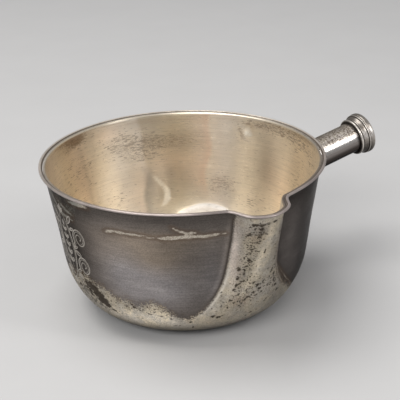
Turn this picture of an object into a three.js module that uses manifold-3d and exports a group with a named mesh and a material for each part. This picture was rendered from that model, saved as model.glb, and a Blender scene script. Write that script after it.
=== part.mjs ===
// Handled bowl: a raised round bowl with a drawn-out pouring lip, an oval wire on its rim,
// and a hollow socket for a turned handle, set a quarter turn from the lip.
// Millimetres, +Z up. Origin: centre of the flat base, on the plane the bowl stands on.
// +X: towards the handle socket. -Y: towards the pouring lip.
import * as THREE from "three";
import { mergeVertices } from "three/addons/utils/BufferGeometryUtils.js";
import Module from "manifold-3d";

// ---- driving dimensions -------------------------------------------------------------------
const R = 63.5; // outer radius of the wall at the rim
const H = 69.9; // height of the wall's top edge
const WALL = 1.0; // sheet thickness
const GAP = 0.3; // clearance between touching pieces

// Outer profile of the body: height = H * s * s, radius = R * r, a natural cubic through these.
const PROFILE_S = [0, 0.14, 0.27, 0.4, 0.55, 0.75, 1];
const PROFILE_R = [0.4656, 0.5961, 0.71879, 0.80883, 0.87945, 0.92528, 1];
const BODY_ROWS = [0, 0.1, 0.2, 0.3, 0.4, 0.5, 0.6, 0.7, 0.8, 0.9, 1];

// Pouring lip and the flute that runs down from it.
const LIP_AZIMUTH = -90.9; // degrees from +X
const LIP_DIP = 1.2; // how far the rim drops at the lip's tip
const LIP_DIP_WIDTH = 8; // degrees
// Section of the flute across its width: share of its height against share of its half width.
const LIP_X = [0, 0.154, 0.308, 0.4615, 0.538, 0.615, 0.692, 0.769, 0.846, 0.923, 1, 1.115];
const LIP_G = [1, 0.9725, 0.9075, 0.806, 0.728, 0.6056, 0.4125, 0.2538, 0.1375, 0.0594, 0.0169, 0];
// Height of the flute above the round body (share of R), its half width and the drift of its
// crest line (degrees), each against share of H.
const FLUTE_Z = [0, 0.05, 0.12, 0.2, 0.3, 0.4, 0.5, 0.64, 0.8, 0.9, 0.95, 1];
const FLUTE_P = [0, 0.001, 0.008, 0.018, 0.033, 0.051, 0.07, 0.096, 0.124, 0.14, 0.149, 0.16];
const FLUTE_W = [36, 35, 34, 33, 27, 20.5, 16, 13.6, 12.6, 12.6, 12.8, 13];
const FLUTE_A = [1, 1, 1, 1, 1, 1, 1, 1, 0.8, 0.3, 0.1, 0];

// Columns of the body and of the rim wire: close together over the flute, wider elsewhere.
const FINE_HALF = 36; // degrees each side of the lip
const FINE_STEPS = 36;
const COARSE_STEPS = 48;

// Rim wire, oval section, soldered to the outside of the wall.
const WIRE_W = 1.6; // its width, across the wall
const WIRE_H = 1.2; // its height
const WIRE_DROP = 0.2; // its middle below the wall's top edge

// Handle socket.
const SOCKET_TILT = 10.8; // degrees up from level
const SOCKET_Z = 39.2; // height where its axis crosses the bowl's axis
const TUBE_R0 = 7.6; // outer radius where it meets the wall
const TUBE_R1 = 7.75; // outer radius under the collar
const BORE_R = 6.6;
const TUBE_END = 107.4; // along the axis, from the bowl's axis
const RING_BORE = TUBE_R1 + GAP;
const BEAD_S0 = 100.2;
const BEAD_S1 = 101.9;
const BEAD_R = 9.3;
const BAND_S0 = 102.2;
const BAND_S1 = 103.8;
const BAND_R0 = 9.0;
const BAND_R1 = 9.7;
const MOUTH_S0 = 104.1;
const MOUTH_S1 = 108.0;
const MOUTH_LINE_R = 10.25;
const MOUTH_GROOVE_R = 9.95;
const MOUTH_R = 10.4;
const SOCKET_SIDES = 36;

// ---- helpers ------------------------------------------------------------------------------
const rad = THREE.MathUtils.degToRad;

// natural cubic spline through (x, y)
function naturalSpline(x, y) {
  const n = x.length;
  const m = new Array(n).fill(0);
  const c = new Array(n).fill(0);
  const d = new Array(n).fill(0);
  for (let i = 1; i < n - 1; i++) {
    const h0 = x[i] - x[i - 1];
    const h1 = x[i + 1] - x[i];
    const k = 2 * (h0 + h1) - h0 * c[i - 1];
    c[i] = h1 / k;
    d[i] = (6 * ((y[i + 1] - y[i]) / h1 - (y[i] - y[i - 1]) / h0) - h0 * d[i - 1]) / k;
  }
  for (let i = n - 2; i > 0; i--) m[i] = d[i] - c[i] * m[i + 1];
  return (t) => {
    let i = 0;
    while (i < n - 2 && t > x[i + 1]) i++;
    const h = x[i + 1] - x[i];
    const a = (x[i + 1] - t) / h;
    const b = (t - x[i]) / h;
    return a * y[i] + b * y[i + 1] + (((a ** 3 - a) * m[i] + (b ** 3 - b) * m[i + 1]) * h * h) / 6;
  };
}

// monotone cubic (no overshoot) through (x, y), held at its end values outside
function smoothCurve(x, y) {
  const n = x.length;
  const k = [];
  for (let i = 0; i < n - 1; i++) k.push((y[i + 1] - y[i]) / (x[i + 1] - x[i]));
  const m = y.map((_, i) => {
    if (i === 0 || i === n - 1) return 0;
    if (k[i - 1] * k[i] <= 0) return 0;
    const h0 = x[i] - x[i - 1];
    const h1 = x[i + 1] - x[i];
    return (3 * (h0 + h1)) / ((2 * h1 + h0) / k[i - 1] + (h1 + 2 * h0) / k[i]);
  });
  return (t) => {
    if (t <= x[0]) return y[0];
    if (t >= x[n - 1]) return y[n - 1];
    let i = 0;
    while (t > x[i + 1]) i++;
    const h = x[i + 1] - x[i];
    const u = (t - x[i]) / h;
    return (
      y[i] * (1 + 2 * u) * (1 - u) ** 2 +
      m[i] * h * u * (1 - u) ** 2 +
      y[i + 1] * u * u * (3 - 2 * u) +
      m[i + 1] * h * u * u * (u - 1)
    );
  };
}

const profile = naturalSpline(PROFILE_S, PROFILE_R);
const section = smoothCurve(LIP_X, LIP_G);
const fluteHeight = smoothCurve(FLUTE_Z, FLUTE_P);
const fluteWidth = smoothCurve(FLUTE_Z, FLUTE_W);
const fluteAxis = smoothCurve(FLUTE_Z, FLUTE_A);

// A point on the outside of the body. a: degrees from the lip; s: 0 at the base, 1 at the rim.
function bodyPoint(a, s) {
  const zs = s * s;
  const bump = fluteHeight(zs) * section(Math.abs(a - fluteAxis(zs)) / fluteWidth(zs));
  const r = R * (profile(s) + bump);
  const z = H * zs - LIP_DIP * Math.exp(-0.5 * (a / LIP_DIP_WIDTH) ** 2) * zs ** 4;
  const t = rad(a + LIP_AZIMUTH);
  return new THREE.Vector3(r * Math.cos(t), r * Math.sin(t), z);
}

// The body's outward normal there.
function bodyNormal(a, s) {
  const e = 1e-3;
  const da = bodyPoint(a + 0.05, s).sub(bodyPoint(a - 0.05, s));
  const ds = bodyPoint(a, Math.min(s + e, 1)).sub(bodyPoint(a, Math.max(s - e, 0)));
  return da.cross(ds).normalize();
}

const columnAngles = [];
for (let i = 0; i < FINE_STEPS; i++) columnAngles.push(-FINE_HALF + (2 * FINE_HALF * i) / FINE_STEPS);
for (let i = 0; i < COARSE_STEPS; i++) columnAngles.push(FINE_HALF + ((360 - 2 * FINE_HALF) * i) / COARSE_STEPS);
const COLUMNS = columnAngles.length;

// A lathe whose columns and rows are then placed one by one: place(a, j) gives row j at angle a.
function shapedLathe(points, place) {
  const g = new THREE.LatheGeometry(points, COLUMNS);
  const pos = g.getAttribute("position");
  const rows = points.length;
  for (let i = 0; i <= COLUMNS; i++)
    for (let j = 0; j < rows; j++) {
      const v = place(columnAngles[i % COLUMNS], j);
      pos.setXYZ(i * rows + j, v.x, v.y, v.z);
    }
  g.computeVertexNormals();
  return g;
}

// ---- manifold-3d helpers for the one boolean cut -------------------------------------------
const wasm = await Module();
wasm.setup();

function toSolid(geometry, matrix) {
  const g = new THREE.BufferGeometry().setAttribute("position", geometry.getAttribute("position").clone());
  if (geometry.index) g.setIndex(geometry.index.clone());
  if (matrix) g.applyMatrix4(matrix);
  const m = mergeVertices(g, 1e-4);
  return new wasm.Manifold(
    new wasm.Mesh({
      numProp: 3,
      vertProperties: new Float32Array(m.getAttribute("position").array),
      triVerts: new Uint32Array(m.index.array),
    }),
  );
}

function toGeometry(solid) {
  const m = solid.getMesh();
  const v = new Float32Array(m.numVert * 3);
  for (let i = 0; i < m.numVert; i++)
    for (let k = 0; k < 3; k++) v[i * 3 + k] = m.vertProperties[i * m.numProp + k];
  const g = new THREE.BufferGeometry();
  g.setAttribute("position", new THREE.BufferAttribute(v, 3));
  g.setIndex(new THREE.BufferAttribute(new Uint32Array(m.triVerts), 1));
  g.computeVertexNormals();
  return g;
}

// ---- materials ------------------------------------------------------------------------------
const bodySilver = new THREE.MeshStandardMaterial({ color: 0x8d8474, roughness: 0.36, metalness: 1 });
const wireSilver = new THREE.MeshStandardMaterial({ color: 0xbdb3a4, roughness: 0.28, metalness: 1 });
const socketSilver = new THREE.MeshStandardMaterial({ color: 0xa39a90, roughness: 0.3, metalness: 1 });
const beadSilver = new THREE.MeshStandardMaterial({ color: 0xb8afa4, roughness: 0.28, metalness: 1 });
const bandSilver = new THREE.MeshStandardMaterial({ color: 0x8f8880, roughness: 0.34, metalness: 1 });
const mouthSilver = new THREE.MeshStandardMaterial({ color: 0xada59b, roughness: 0.3, metalness: 1 });

const part = new THREE.Group();

// ---- body: one sheet, open at the top -------------------------------------------------------
// Profile rows: axis, outside from the base up to the rim, inside back down, axis.
const bodyRows = [{ axis: true, z: 0 }];
for (const s of BODY_ROWS) bodyRows.push({ s, inside: false });
for (const s of [...BODY_ROWS].reverse()) bodyRows.push({ s, inside: true });
bodyRows.push({ axis: true, z: WALL });

const bodyOutline = bodyRows.map((row) =>
  row.axis
    ? new THREE.Vector2(0, row.z)
    : new THREE.Vector2(R * profile(row.s) - (row.inside ? WALL : 0), H * row.s * row.s + (row.inside ? WALL : 0)),
);
const bodyGeometry = shapedLathe(bodyOutline, (a, j) => {
  const row = bodyRows[j];
  if (row.axis) return new THREE.Vector3(0, 0, row.z);
  const p = bodyPoint(a, row.s);
  if (!row.inside) return p;
  const n = bodyNormal(a, row.s);
  if (row.s === 1) n.setZ(0).normalize(); // level top edge
  return p.addScaledVector(n, -WALL);
});
const body = new THREE.Mesh(bodyGeometry, bodySilver);
body.name = "bowl_body";
part.add(body);

// ---- rim wire -------------------------------------------------------------------------------
const wireSection = [];
for (let i = 0; i <= 10; i++) {
  const t = -(Math.PI * 2 * (i % 10)) / 10 - Math.PI;
  wireSection.push([GAP + (WIRE_W / 2) * (1 + Math.cos(t)), -(WIRE_H / 2) * Math.sin(t)]);
}
const wireOutline = wireSection.map(([x, z]) => new THREE.Vector2(R + x, H + z));
const wireGeometry = shapedLathe(wireOutline, (a, j) => {
  const [x, z] = wireSection[j % (wireSection.length - 1)];
  const n = bodyNormal(a, 1).setZ(0).normalize();
  const p = bodyPoint(a, 1).addScaledVector(n, x);
  return p.setZ(p.z - WIRE_DROP + z);
});
const rimWire = new THREE.Mesh(wireGeometry, wireSilver);
rimWire.name = "rim_wire";
part.add(rimWire);

// ---- handle socket, built along its own axis (local +X, starting at the bowl's axis) ----------
const socket = new THREE.Group();
socket.position.z = SOCKET_Z;
socket.rotation.y = -rad(SOCKET_TILT);
part.add(socket);

// A ring or tube from its outline: [distance along the axis, radius] pairs, closed on itself.
function turned(outline) {
  const pts = outline.map(([s, r]) => new THREE.Vector2(r, s));
  pts.push(pts[0].clone());
  return new THREE.LatheGeometry(pts, SOCKET_SIDES).rotateZ(-Math.PI / 2);
}

// The tube starts inside the wall and is cut back to it, leaving the joint's gap.
const tubeBlank = turned([
  [50, BORE_R],
  [50, TUBE_R0],
  [97, TUBE_R0],
  [99.4, TUBE_R1],
  [TUBE_END, TUBE_R1],
  [TUBE_END, BORE_R],
]);
const clearRows = [new THREE.Vector2(0, -GAP)];
for (let i = 0; i <= 24; i++) {
  const s = i / 24;
  clearRows.push(new THREE.Vector2(R * profile(s) + GAP, H * s * s));
}
clearRows.push(new THREE.Vector2(0, H));
const clearBowl = new THREE.LatheGeometry(clearRows, 120).rotateX(Math.PI / 2);
socket.updateMatrixWorld(true);
const toSocket = socket.matrixWorld.clone().invert();
const tubeSolid = toSolid(tubeBlank).subtract(toSolid(clearBowl, toSocket));
const tube = new THREE.Mesh(toGeometry(tubeSolid), socketSilver);
tube.name = "socket_tube";
socket.add(tube);

// Collar: a bead, a plain hollow-sided band and the mouth ring.
const beadMid = (BEAD_S0 + BEAD_S1) / 2;
const beadHalf = (BEAD_S1 - BEAD_S0) / 2;
const beadOutline = [[BEAD_S0, RING_BORE]];
for (let i = 0; i <= 6; i++) {
  const t = (Math.PI * i) / 6;
  beadOutline.push([beadMid - beadHalf * Math.cos(t), BEAD_R - 0.8 + 0.8 * Math.sin(t)]);
}
beadOutline.push([BEAD_S1, RING_BORE]);
const bead = new THREE.Mesh(turned(beadOutline), beadSilver);
bead.name = "collar_bead";
socket.add(bead);

const bandOutline = [[BAND_S0, RING_BORE]];
for (let i = 0; i <= 4; i++) {
  const u = i / 4;
  bandOutline.push([BAND_S0 + (BAND_S1 - BAND_S0) * u, BAND_R0 + (BAND_R1 - BAND_R0) * u * u]);
}
bandOutline.push([BAND_S1, RING_BORE]);
const band = new THREE.Mesh(turned(bandOutline), bandSilver);
band.name = "collar_band";
socket.add(band);

const mouth = new THREE.Mesh(
  turned([
    [MOUTH_S0, RING_BORE],
    [MOUTH_S0, MOUTH_LINE_R - 0.3],
    [MOUTH_S0 + 0.3, MOUTH_LINE_R],
    [MOUTH_S0 + 0.7, MOUTH_LINE_R],
    [MOUTH_S0 + 0.9, MOUTH_GROOVE_R],
    [MOUTH_S0 + 1.2, MOUTH_R - 0.15],
    [MOUTH_S0 + 1.6, MOUTH_R],
    [MOUTH_S1 - 0.5, MOUTH_R],
    [MOUTH_S1 - 0.15, MOUTH_R - 0.15],
    [MOUTH_S1, MOUTH_R - 0.45],
    [MOUTH_S1, RING_BORE],
  ]),
  mouthSilver,
);
mouth.name = "mouth_ring";
socket.add(mouth);

export default part;
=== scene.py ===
import math

import bpy
import numpy as np
from mathutils import Matrix, Vector


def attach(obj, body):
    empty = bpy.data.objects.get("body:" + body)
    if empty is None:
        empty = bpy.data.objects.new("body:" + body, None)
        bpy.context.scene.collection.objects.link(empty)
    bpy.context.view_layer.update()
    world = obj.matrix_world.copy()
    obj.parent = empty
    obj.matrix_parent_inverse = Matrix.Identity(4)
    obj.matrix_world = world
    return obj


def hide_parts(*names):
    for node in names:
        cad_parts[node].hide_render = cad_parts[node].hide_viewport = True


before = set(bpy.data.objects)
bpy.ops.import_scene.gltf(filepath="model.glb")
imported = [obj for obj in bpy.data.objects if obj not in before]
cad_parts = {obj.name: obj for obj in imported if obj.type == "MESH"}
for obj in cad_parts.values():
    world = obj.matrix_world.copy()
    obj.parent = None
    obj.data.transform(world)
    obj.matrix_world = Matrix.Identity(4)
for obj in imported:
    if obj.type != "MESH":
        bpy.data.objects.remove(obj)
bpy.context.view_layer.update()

MM = 0.001

# ---------------------------------------------------------------- the body's surface, as in the CAD model (mm, degrees from the lip)
R, H, WALL = 63.5, 69.9, 1.0
PROFILE_S = np.array([0, .14, .27, .4, .55, .75, 1.])
PROFILE_R = np.array([.4656, .5961, .71879, .80883, .87945, .92528, 1.])
LIP_AZIMUTH, LIP_DIP, LIP_DIP_WIDTH = -90.9, 1.2, 8.0
LIP_X = np.array([0, .154, .308, .4615, .538, .615, .692, .769, .846, .923, 1, 1.115])
LIP_G = np.array([1, .9725, .9075, .806, .728, .6056, .4125, .2538, .1375, .0594, .0169, 0])
FLUTE_Z = np.array([0, .05, .12, .2, .3, .4, .5, .64, .8, .9, .95, 1])
FLUTE_P = np.array([0, .001, .008, .018, .033, .051, .07, .096, .124, .14, .149, .16])
FLUTE_W = np.array([36, 35, 34, 33, 27, 20.5, 16, 13.6, 12.6, 12.6, 12.8, 13.])
FLUTE_A = np.array([1, 1, 1, 1, 1, 1, 1, 1, .8, .3, .1, 0])


def natural_spline(x, y):
    n = len(x)
    m, c, d = np.zeros(n), np.zeros(n), np.zeros(n)
    for i in range(1, n - 1):
        h0, h1 = x[i] - x[i - 1], x[i + 1] - x[i]
        k = 2 * (h0 + h1) - h0 * c[i - 1]
        c[i] = h1 / k
        d[i] = (6 * ((y[i + 1] - y[i]) / h1 - (y[i] - y[i - 1]) / h0) - h0 * d[i - 1]) / k
    for i in range(n - 2, 0, -1):
        m[i] = d[i] - c[i] * m[i + 1]

    def f(t):
        t = np.asarray(t, float)
        i = np.clip(np.searchsorted(x, t, side="left") - 1, 0, n - 2)
        h = x[i + 1] - x[i]
        a, b = (x[i + 1] - t) / h, (t - x[i]) / h
        return a * y[i] + b * y[i + 1] + ((a**3 - a) * m[i] + (b**3 - b) * m[i + 1]) * h * h / 6

    return f


def smooth_curve(x, y):
    n, k, m = len(x), np.diff(y) / np.diff(x), np.zeros(len(x))
    for i in range(1, n - 1):
        if k[i - 1] * k[i] > 0:
            h0, h1 = x[i] - x[i - 1], x[i + 1] - x[i]
            m[i] = 3 * (h0 + h1) / ((2 * h1 + h0) / k[i - 1] + (h1 + 2 * h0) / k[i])

    def f(t):
        t = np.clip(np.asarray(t, float), x[0], x[-1])
        i = np.clip(np.searchsorted(x, t, side="left") - 1, 0, n - 2)
        h = x[i + 1] - x[i]
        u = (t - x[i]) / h
        return y[i] * (1 + 2 * u) * (1 - u) ** 2 + m[i] * h * u * (1 - u) ** 2 + y[i + 1] * u * u * (3 - 2 * u) + m[i + 1] * h * u * u * (u - 1)

    return f


profile, section = natural_spline(PROFILE_S, PROFILE_R), smooth_curve(LIP_X, LIP_G)
flute_height, flute_width, flute_axis = smooth_curve(FLUTE_Z, FLUTE_P), smooth_curve(FLUTE_Z, FLUTE_W), smooth_curve(FLUTE_Z, FLUTE_A)


def wrap(a):
    return (np.asarray(a, float) + 180) % 360 - 180


def shell(a, s):
    """A point of the outer surface: a in degrees from the lip, s from 0 at the base's edge to 1 at the rim."""
    a, s = wrap(a), np.asarray(s, float)
    zs = s * s
    r = R * (profile(s) + flute_height(zs) * section(np.abs(a - flute_axis(zs)) / flute_width(zs)))
    z = H * zs - LIP_DIP * np.exp(-.5 * (a / LIP_DIP_WIDTH) ** 2) * zs**4
    t = np.radians(a + LIP_AZIMUTH)
    return np.stack([r * np.cos(t), r * np.sin(t), z], -1)


def shell_normal(a, s):
    """The outward normal of the outer surface."""
    da, ds = .05, 2e-4
    s = np.asarray(s, float)
    s0, s1 = np.clip(s - ds, 0, 1), np.clip(s + ds, 0, 1)
    ta = shell(a + da, s) - shell(a - da, s)
    ts = shell(a, s1) - shell(a, s0)
    n = np.cross(ta, ts)
    return n / np.linalg.norm(n, axis=-1, keepdims=True)


def blob(a, z, a0, z0, wa, wz):
    """A soft round bump of height 1 at (a0, z0)."""
    return np.exp(-((wrap(a - a0) / wa) ** 2) - ((z - z0) / wz) ** 2)


def ripple(a, z):
    """How far hand raising, planishing and knocks move the sheet, outwards, in mm."""
    t = np.radians(a)
    low = np.clip((z - 4) / 18, 0, 1)
    low = low * low * (3 - 2 * low)
    top = np.clip((69.9 - z) / 7, 0, 1)
    u = .05 * np.sin(9 * t + .06 * z + .4) + .035 * np.sin(14 * t - .05 * z + 2.1) + .02 * np.sin(23 * t + .09 * z + 5.0)
    u = u + .012 * np.sin(37 * t + .35 * z + 1.0) + .012 * np.sin(31 * t - .42 * z + 3.0) + .03 * np.sin(5 * t + .21 * z)
    u = u * low * top
    u = u + .50 * blob(a, z, 118.2, 62.3, 1.9, 2.3) - .22 * blob(a, z, 121.3, 61, 1.6, 3.2)   # a knock from inside, beside the socket
    u = u + .30 * blob(a, z, 160.6, 29.0, 2.2, 6.5) - .20 * blob(a, z, 165.5, 31, 3.6, 8)     # a long dent low in the back wall
    turn_z = 22.4 - 4.6 * (wrap(a - 138) / 15.5) ** 2                                        # the wall turns in early here, low at the back
    past = np.clip(turn_z - z, 0, 6)
    u = u - .15 * (np.sqrt(past**2 + .09) - .3) * np.clip((z - 3) / 12, 0, 1)
    u = u - .10 * blob(a, z, 141, 36, 9, 9)
    u = u - .08 * blob(a, z, -52, 40, 14, 12)
    return u


# ---------------------------------------------------------------- mesh helpers
def new_object(name, verts_mm, faces, smooth=True):
    mesh = bpy.data.meshes.new(name)
    mesh.from_pydata([tuple(v) for v in (np.asarray(verts_mm, float) * MM).tolist()], [], faces)
    mesh.validate()
    mesh.update()
    if smooth:
        mesh.polygons.foreach_set("use_smooth", [True] * len(mesh.polygons))
    obj = bpy.data.objects.new(name, mesh)
    bpy.context.scene.collection.objects.link(obj)
    return obj


def grid_faces(rows, cols, base=0, close_rows=False):
    """Quads of a grid that closes round its columns; rows run along the surface."""
    f = []
    last = rows if close_rows else rows - 1
    for i in range(last):
        a, b = base + i * cols, base + ((i + 1) % rows) * cols
        for j in range(cols):
            k = (j + 1) % cols
            f.append((a + j, a + k, b + k, b + j))
    return f


def set_attribute(obj, name, values):
    attribute = obj.data.attributes.new(name, "FLOAT", "POINT")
    attribute.data.foreach_set("value", np.asarray(values, np.float32).ravel())


def polygon_distance(px, py, poly):
    """Signed distance to a closed polygon, above 0 inside."""
    poly = np.asarray(poly, float)
    best, inside = np.full(px.shape, 1e9), np.zeros(px.shape, bool)
    for (x0, y0), (x1, y1) in zip(poly, np.roll(poly, -1, axis=0)):
        dx, dy = x1 - x0, y1 - y0
        t = np.clip(((px - x0) * dx + (py - y0) * dy) / max(dx * dx + dy * dy, 1e-12), 0, 1)
        best = np.minimum(best, np.hypot(px - x0 - t * dx, py - y0 - t * dy))
        with np.errstate(divide="ignore", invalid="ignore"):
            crosses = ((y0 > py) != (y1 > py)) & (px < (x1 - x0) * (py - y0) / (y1 - y0) + x0)
        inside ^= crosses
    return np.where(inside, best, -best)


def stroke_distance(px, py, points):
    """Distance inside a stroke of varying half width: points are (x, y, half width). Above 0 inside."""
    best = np.full(px.shape, -1e9)
    for (x0, y0, w0), (x1, y1, w1) in zip(points[:-1], points[1:]):
        dx, dy = x1 - x0, y1 - y0
        t = np.clip(((px - x0) * dx + (py - y0) * dy) / max(dx * dx + dy * dy, 1e-12), 0, 1)
        best = np.maximum(best, w0 + t * (w1 - w0) - np.hypot(px - x0 - t * dx, py - y0 - t * dy))
    return best


DEG = 1.108      # mm of wall for a degree round the bowl


def unroll(points):
    return [(p[0] * DEG,) + tuple(p[1:]) for p in points]


# ---------------------------------------------------------------- node helpers
class Shader:
    def __init__(self, name):
        self.material = bpy.data.materials.new(name)
        self.material.use_nodes = True
        self.nodes, self.links = self.material.node_tree.nodes, self.material.node_tree.links
        self.nodes.clear()
        self.out = self.nodes.new("ShaderNodeOutputMaterial")
        self.bsdf = self.nodes.new("ShaderNodeBsdfPrincipled")
        self.links.new(self.bsdf.outputs["BSDF"], self.out.inputs["Surface"])
        self.coord = self.nodes.new("ShaderNodeTexCoord").outputs["Object"]

    def put(self, socket, value):
        if isinstance(value, bpy.types.NodeSocket):
            self.links.new(value, socket)
        elif isinstance(value, (tuple, list)) and len(value) == 3 and socket.type == "RGBA":
            socket.default_value = (*value, 1)
        else:
            socket.default_value = value

    def math(self, op, a, b=0.0, clamp=False):
        n = self.nodes.new("ShaderNodeMath")
        n.operation, n.use_clamp = op, clamp
        self.put(n.inputs[0], a)
        self.put(n.inputs[1], b)
        return n.outputs[0]

    def add(self, a, b):
        return self.math("ADD", a, b)

    def sub(self, a, b):
        return self.math("SUBTRACT", a, b)

    def mul(self, a, b):
        return self.math("MULTIPLY", a, b)

    def step(self, value, low, high, to_low=0.0, to_high=1.0):
        n = self.nodes.new("ShaderNodeMapRange")
        n.interpolation_type, n.clamp = "SMOOTHSTEP", True
        self.put(n.inputs["Value"], value)
        n.inputs["From Min"].default_value, n.inputs["From Max"].default_value = low, high
        n.inputs["To Min"].default_value, n.inputs["To Max"].default_value = to_low, to_high
        return n.outputs["Result"]

    def attribute(self, name):
        n = self.nodes.new("ShaderNodeAttribute")
        n.attribute_type, n.attribute_name = "GEOMETRY", name
        return n.outputs["Fac"]

    def scaled(self, scale, offset=(0, 0, 0)):
        """The object's coordinates, in mm, times scale along each axis."""
        n = self.nodes.new("ShaderNodeMapping")
        self.links.new(self.coord, n.inputs["Vector"])
        n.inputs["Scale"].default_value = tuple(1000 * s for s in scale)
        n.inputs["Location"].default_value = offset
        return n.outputs["Vector"]

    def noise(self, vector, scale=1.0, detail=4.0, rough=.55, distortion=0.0):
        n = self.nodes.new("ShaderNodeTexNoise")
        self.links.new(vector, n.inputs["Vector"])
        n.inputs["Scale"].default_value, n.inputs["Detail"].default_value = scale, detail
        n.inputs["Roughness"].default_value, n.inputs["Distortion"].default_value = rough, distortion
        return n.outputs["Fac"]

    def cells(self, vector, scale=1.0, randomness=1.0):
        n = self.nodes.new("ShaderNodeTexVoronoi")
        self.links.new(vector, n.inputs["Vector"])
        n.inputs["Scale"].default_value, n.inputs["Randomness"].default_value = scale, randomness
        return n.outputs["Distance"]

    def mix(self, fac, a, b, mode="MIX"):
        n = self.nodes.new("ShaderNodeMix")
        n.data_type, n.blend_type, n.clamp_factor = "RGBA", mode, True
        self.put(n.inputs["Factor"], fac)
        self.put(n.inputs[6], a)
        self.put(n.inputs[7], b)
        return n.outputs[2]

    def lerp(self, fac, a, b):
        n = self.nodes.new("ShaderNodeMix")
        n.data_type, n.clamp_factor = "FLOAT", True
        self.put(n.inputs[0], fac)
        self.put(n.inputs[2], a)
        self.put(n.inputs[3], b)
        return n.outputs[0]

    def times(self, colour, value):
        """A colour times a number."""
        n = self.nodes.new("ShaderNodeVectorMath")
        n.operation = "SCALE"
        self.put(n.inputs[0], colour)
        self.put(n.inputs["Scale"], value)
        return n.outputs[0]

    def bump(self, height, strength, distance_mm, normal=None):
        n = self.nodes.new("ShaderNodeBump")
        self.put(n.inputs["Strength"], strength)
        n.inputs["Distance"].default_value = distance_mm * MM
        self.put(n.inputs["Height"], height)
        if normal is not None:
            self.put(n.inputs["Normal"], normal)
        return n.outputs["Normal"]

    def brushed_round(self, amount):
        """Gloss that spreads up and down, as it does over marks that run round the bowl."""
        n = self.nodes.new("ShaderNodeTangent")
        n.direction_type, n.axis = "RADIAL", "Z"
        self.links.new(n.outputs["Tangent"], self.bsdf.inputs["Tangent"])
        self.bsdf.inputs["Anisotropic"].default_value = amount
        self.bsdf.inputs["Anisotropic Rotation"].default_value = .25

    def dull_edges(self, amount):
        """Tarnished metal is less bright at grazing angles than clean metal."""
        self.bsdf.inputs["Specular Tint"].default_value = (amount, amount, amount, 1)

    def finish(self, colour, rough, metal, normal=None):
        self.put(self.bsdf.inputs["Base Color"], colour)
        self.put(self.bsdf.inputs["Roughness"], rough)
        self.put(self.bsdf.inputs["Metallic"], metal)
        if normal is not None:
            self.put(self.bsdf.inputs["Normal"], normal)
        return self.material


# ---------------------------------------------------------------- camera, at the photograph's viewing angle
CAM_Y, CAM_Z, YAW, PITCH, ROLL = 6.72465548, 3.69698311, .0173991364, .412868453, -.0303516788
back_turn = math.radians(-29.4)


def turned(v):
    return Vector((math.cos(back_turn) * v.x - math.sin(back_turn) * v.y, math.sin(back_turn) * v.x + math.cos(back_turn) * v.y, v.z))


eye = Vector((0, -CAM_Y, CAM_Z)) * R * MM
forward = Vector((math.sin(YAW) * math.cos(PITCH), math.cos(YAW) * math.cos(PITCH), -math.sin(PITCH)))
right = forward.cross(Vector((0, 0, 1))).normalized()
up = right.cross(forward)
right, up = math.cos(ROLL) * right + math.sin(ROLL) * up, -math.sin(ROLL) * right + math.cos(ROLL) * up
eye, forward, right, up = turned(eye), turned(forward), turned(right), turned(up)
cam_data = bpy.data.cameras.new("camera")
cam_data.lens, cam_data.sensor_width, cam_data.sensor_fit = 90, 36, "AUTO"
cam_data.clip_start, cam_data.clip_end = .01, 20
camera = bpy.data.objects.new("camera", cam_data)
camera.matrix_world = Matrix(((right.x, up.x, -forward.x, eye.x), (right.y, up.y, -forward.y, eye.y), (right.z, up.z, -forward.z, eye.z), (0, 0, 0, 1)))
bpy.context.scene.collection.objects.link(camera)
bpy.context.scene.camera = camera

# ---------------------------------------------------------------- bowl body
lip_half = np.arange(-40, 40.01, .45)
rest_half = np.arange(40 + .95, 320 - .5, .95)
COL_A = np.concatenate([lip_half, rest_half])
COLS = len(COL_A)


def arc_rows(n, s_start, s_end):
    """n values of s at equal steps along the profile."""
    s = np.linspace(0, 1, 2001)
    p = shell(np.full_like(s, 180.), s)
    d = np.concatenate([[0], np.cumsum(np.linalg.norm(np.diff(p, axis=0), axis=1))])
    return np.interp(np.linspace(np.interp(s_start, s, d), np.interp(s_end, s, d), n), d, s)


TOP_S = .9945          # the wall's edge is rounded above this
outer_s = arc_rows(106, 0.0, TOP_S)
inner_s = arc_rows(78, 0.0, TOP_S)

verts, att = [], {"a": [], "z": [], "side": []}


def add_row(p, a, z, side):
    verts.append(p)
    att["a"].append(np.broadcast_to(a, (COLS,)))
    att["z"].append(np.broadcast_to(z, (COLS,)))
    att["side"].append(np.full(COLS, side))


def outer_point(s):
    p, n = shell(COL_A, np.full(COLS, s)), shell_normal(COL_A, np.full(COLS, s))
    return p + n * ripple(COL_A, p[:, 2])[:, None], n


base_ring = shell(COL_A, np.zeros(COLS))
# underside, from the middle out: a slightly hollow disc
UNDER = [.06, .3, .55, .78, .92]
for q in UNDER:
    p = base_ring * q
    p[:, 2] = .16 * (1 - (q / 1.0) ** 4)
    add_row(p, COL_A, 0.0, 0)
for s in outer_s:
    p, n = outer_point(s)
    if s == 0:
        p[:, 2] = 0
    add_row(p, COL_A, p[:, 2], 0)
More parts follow.
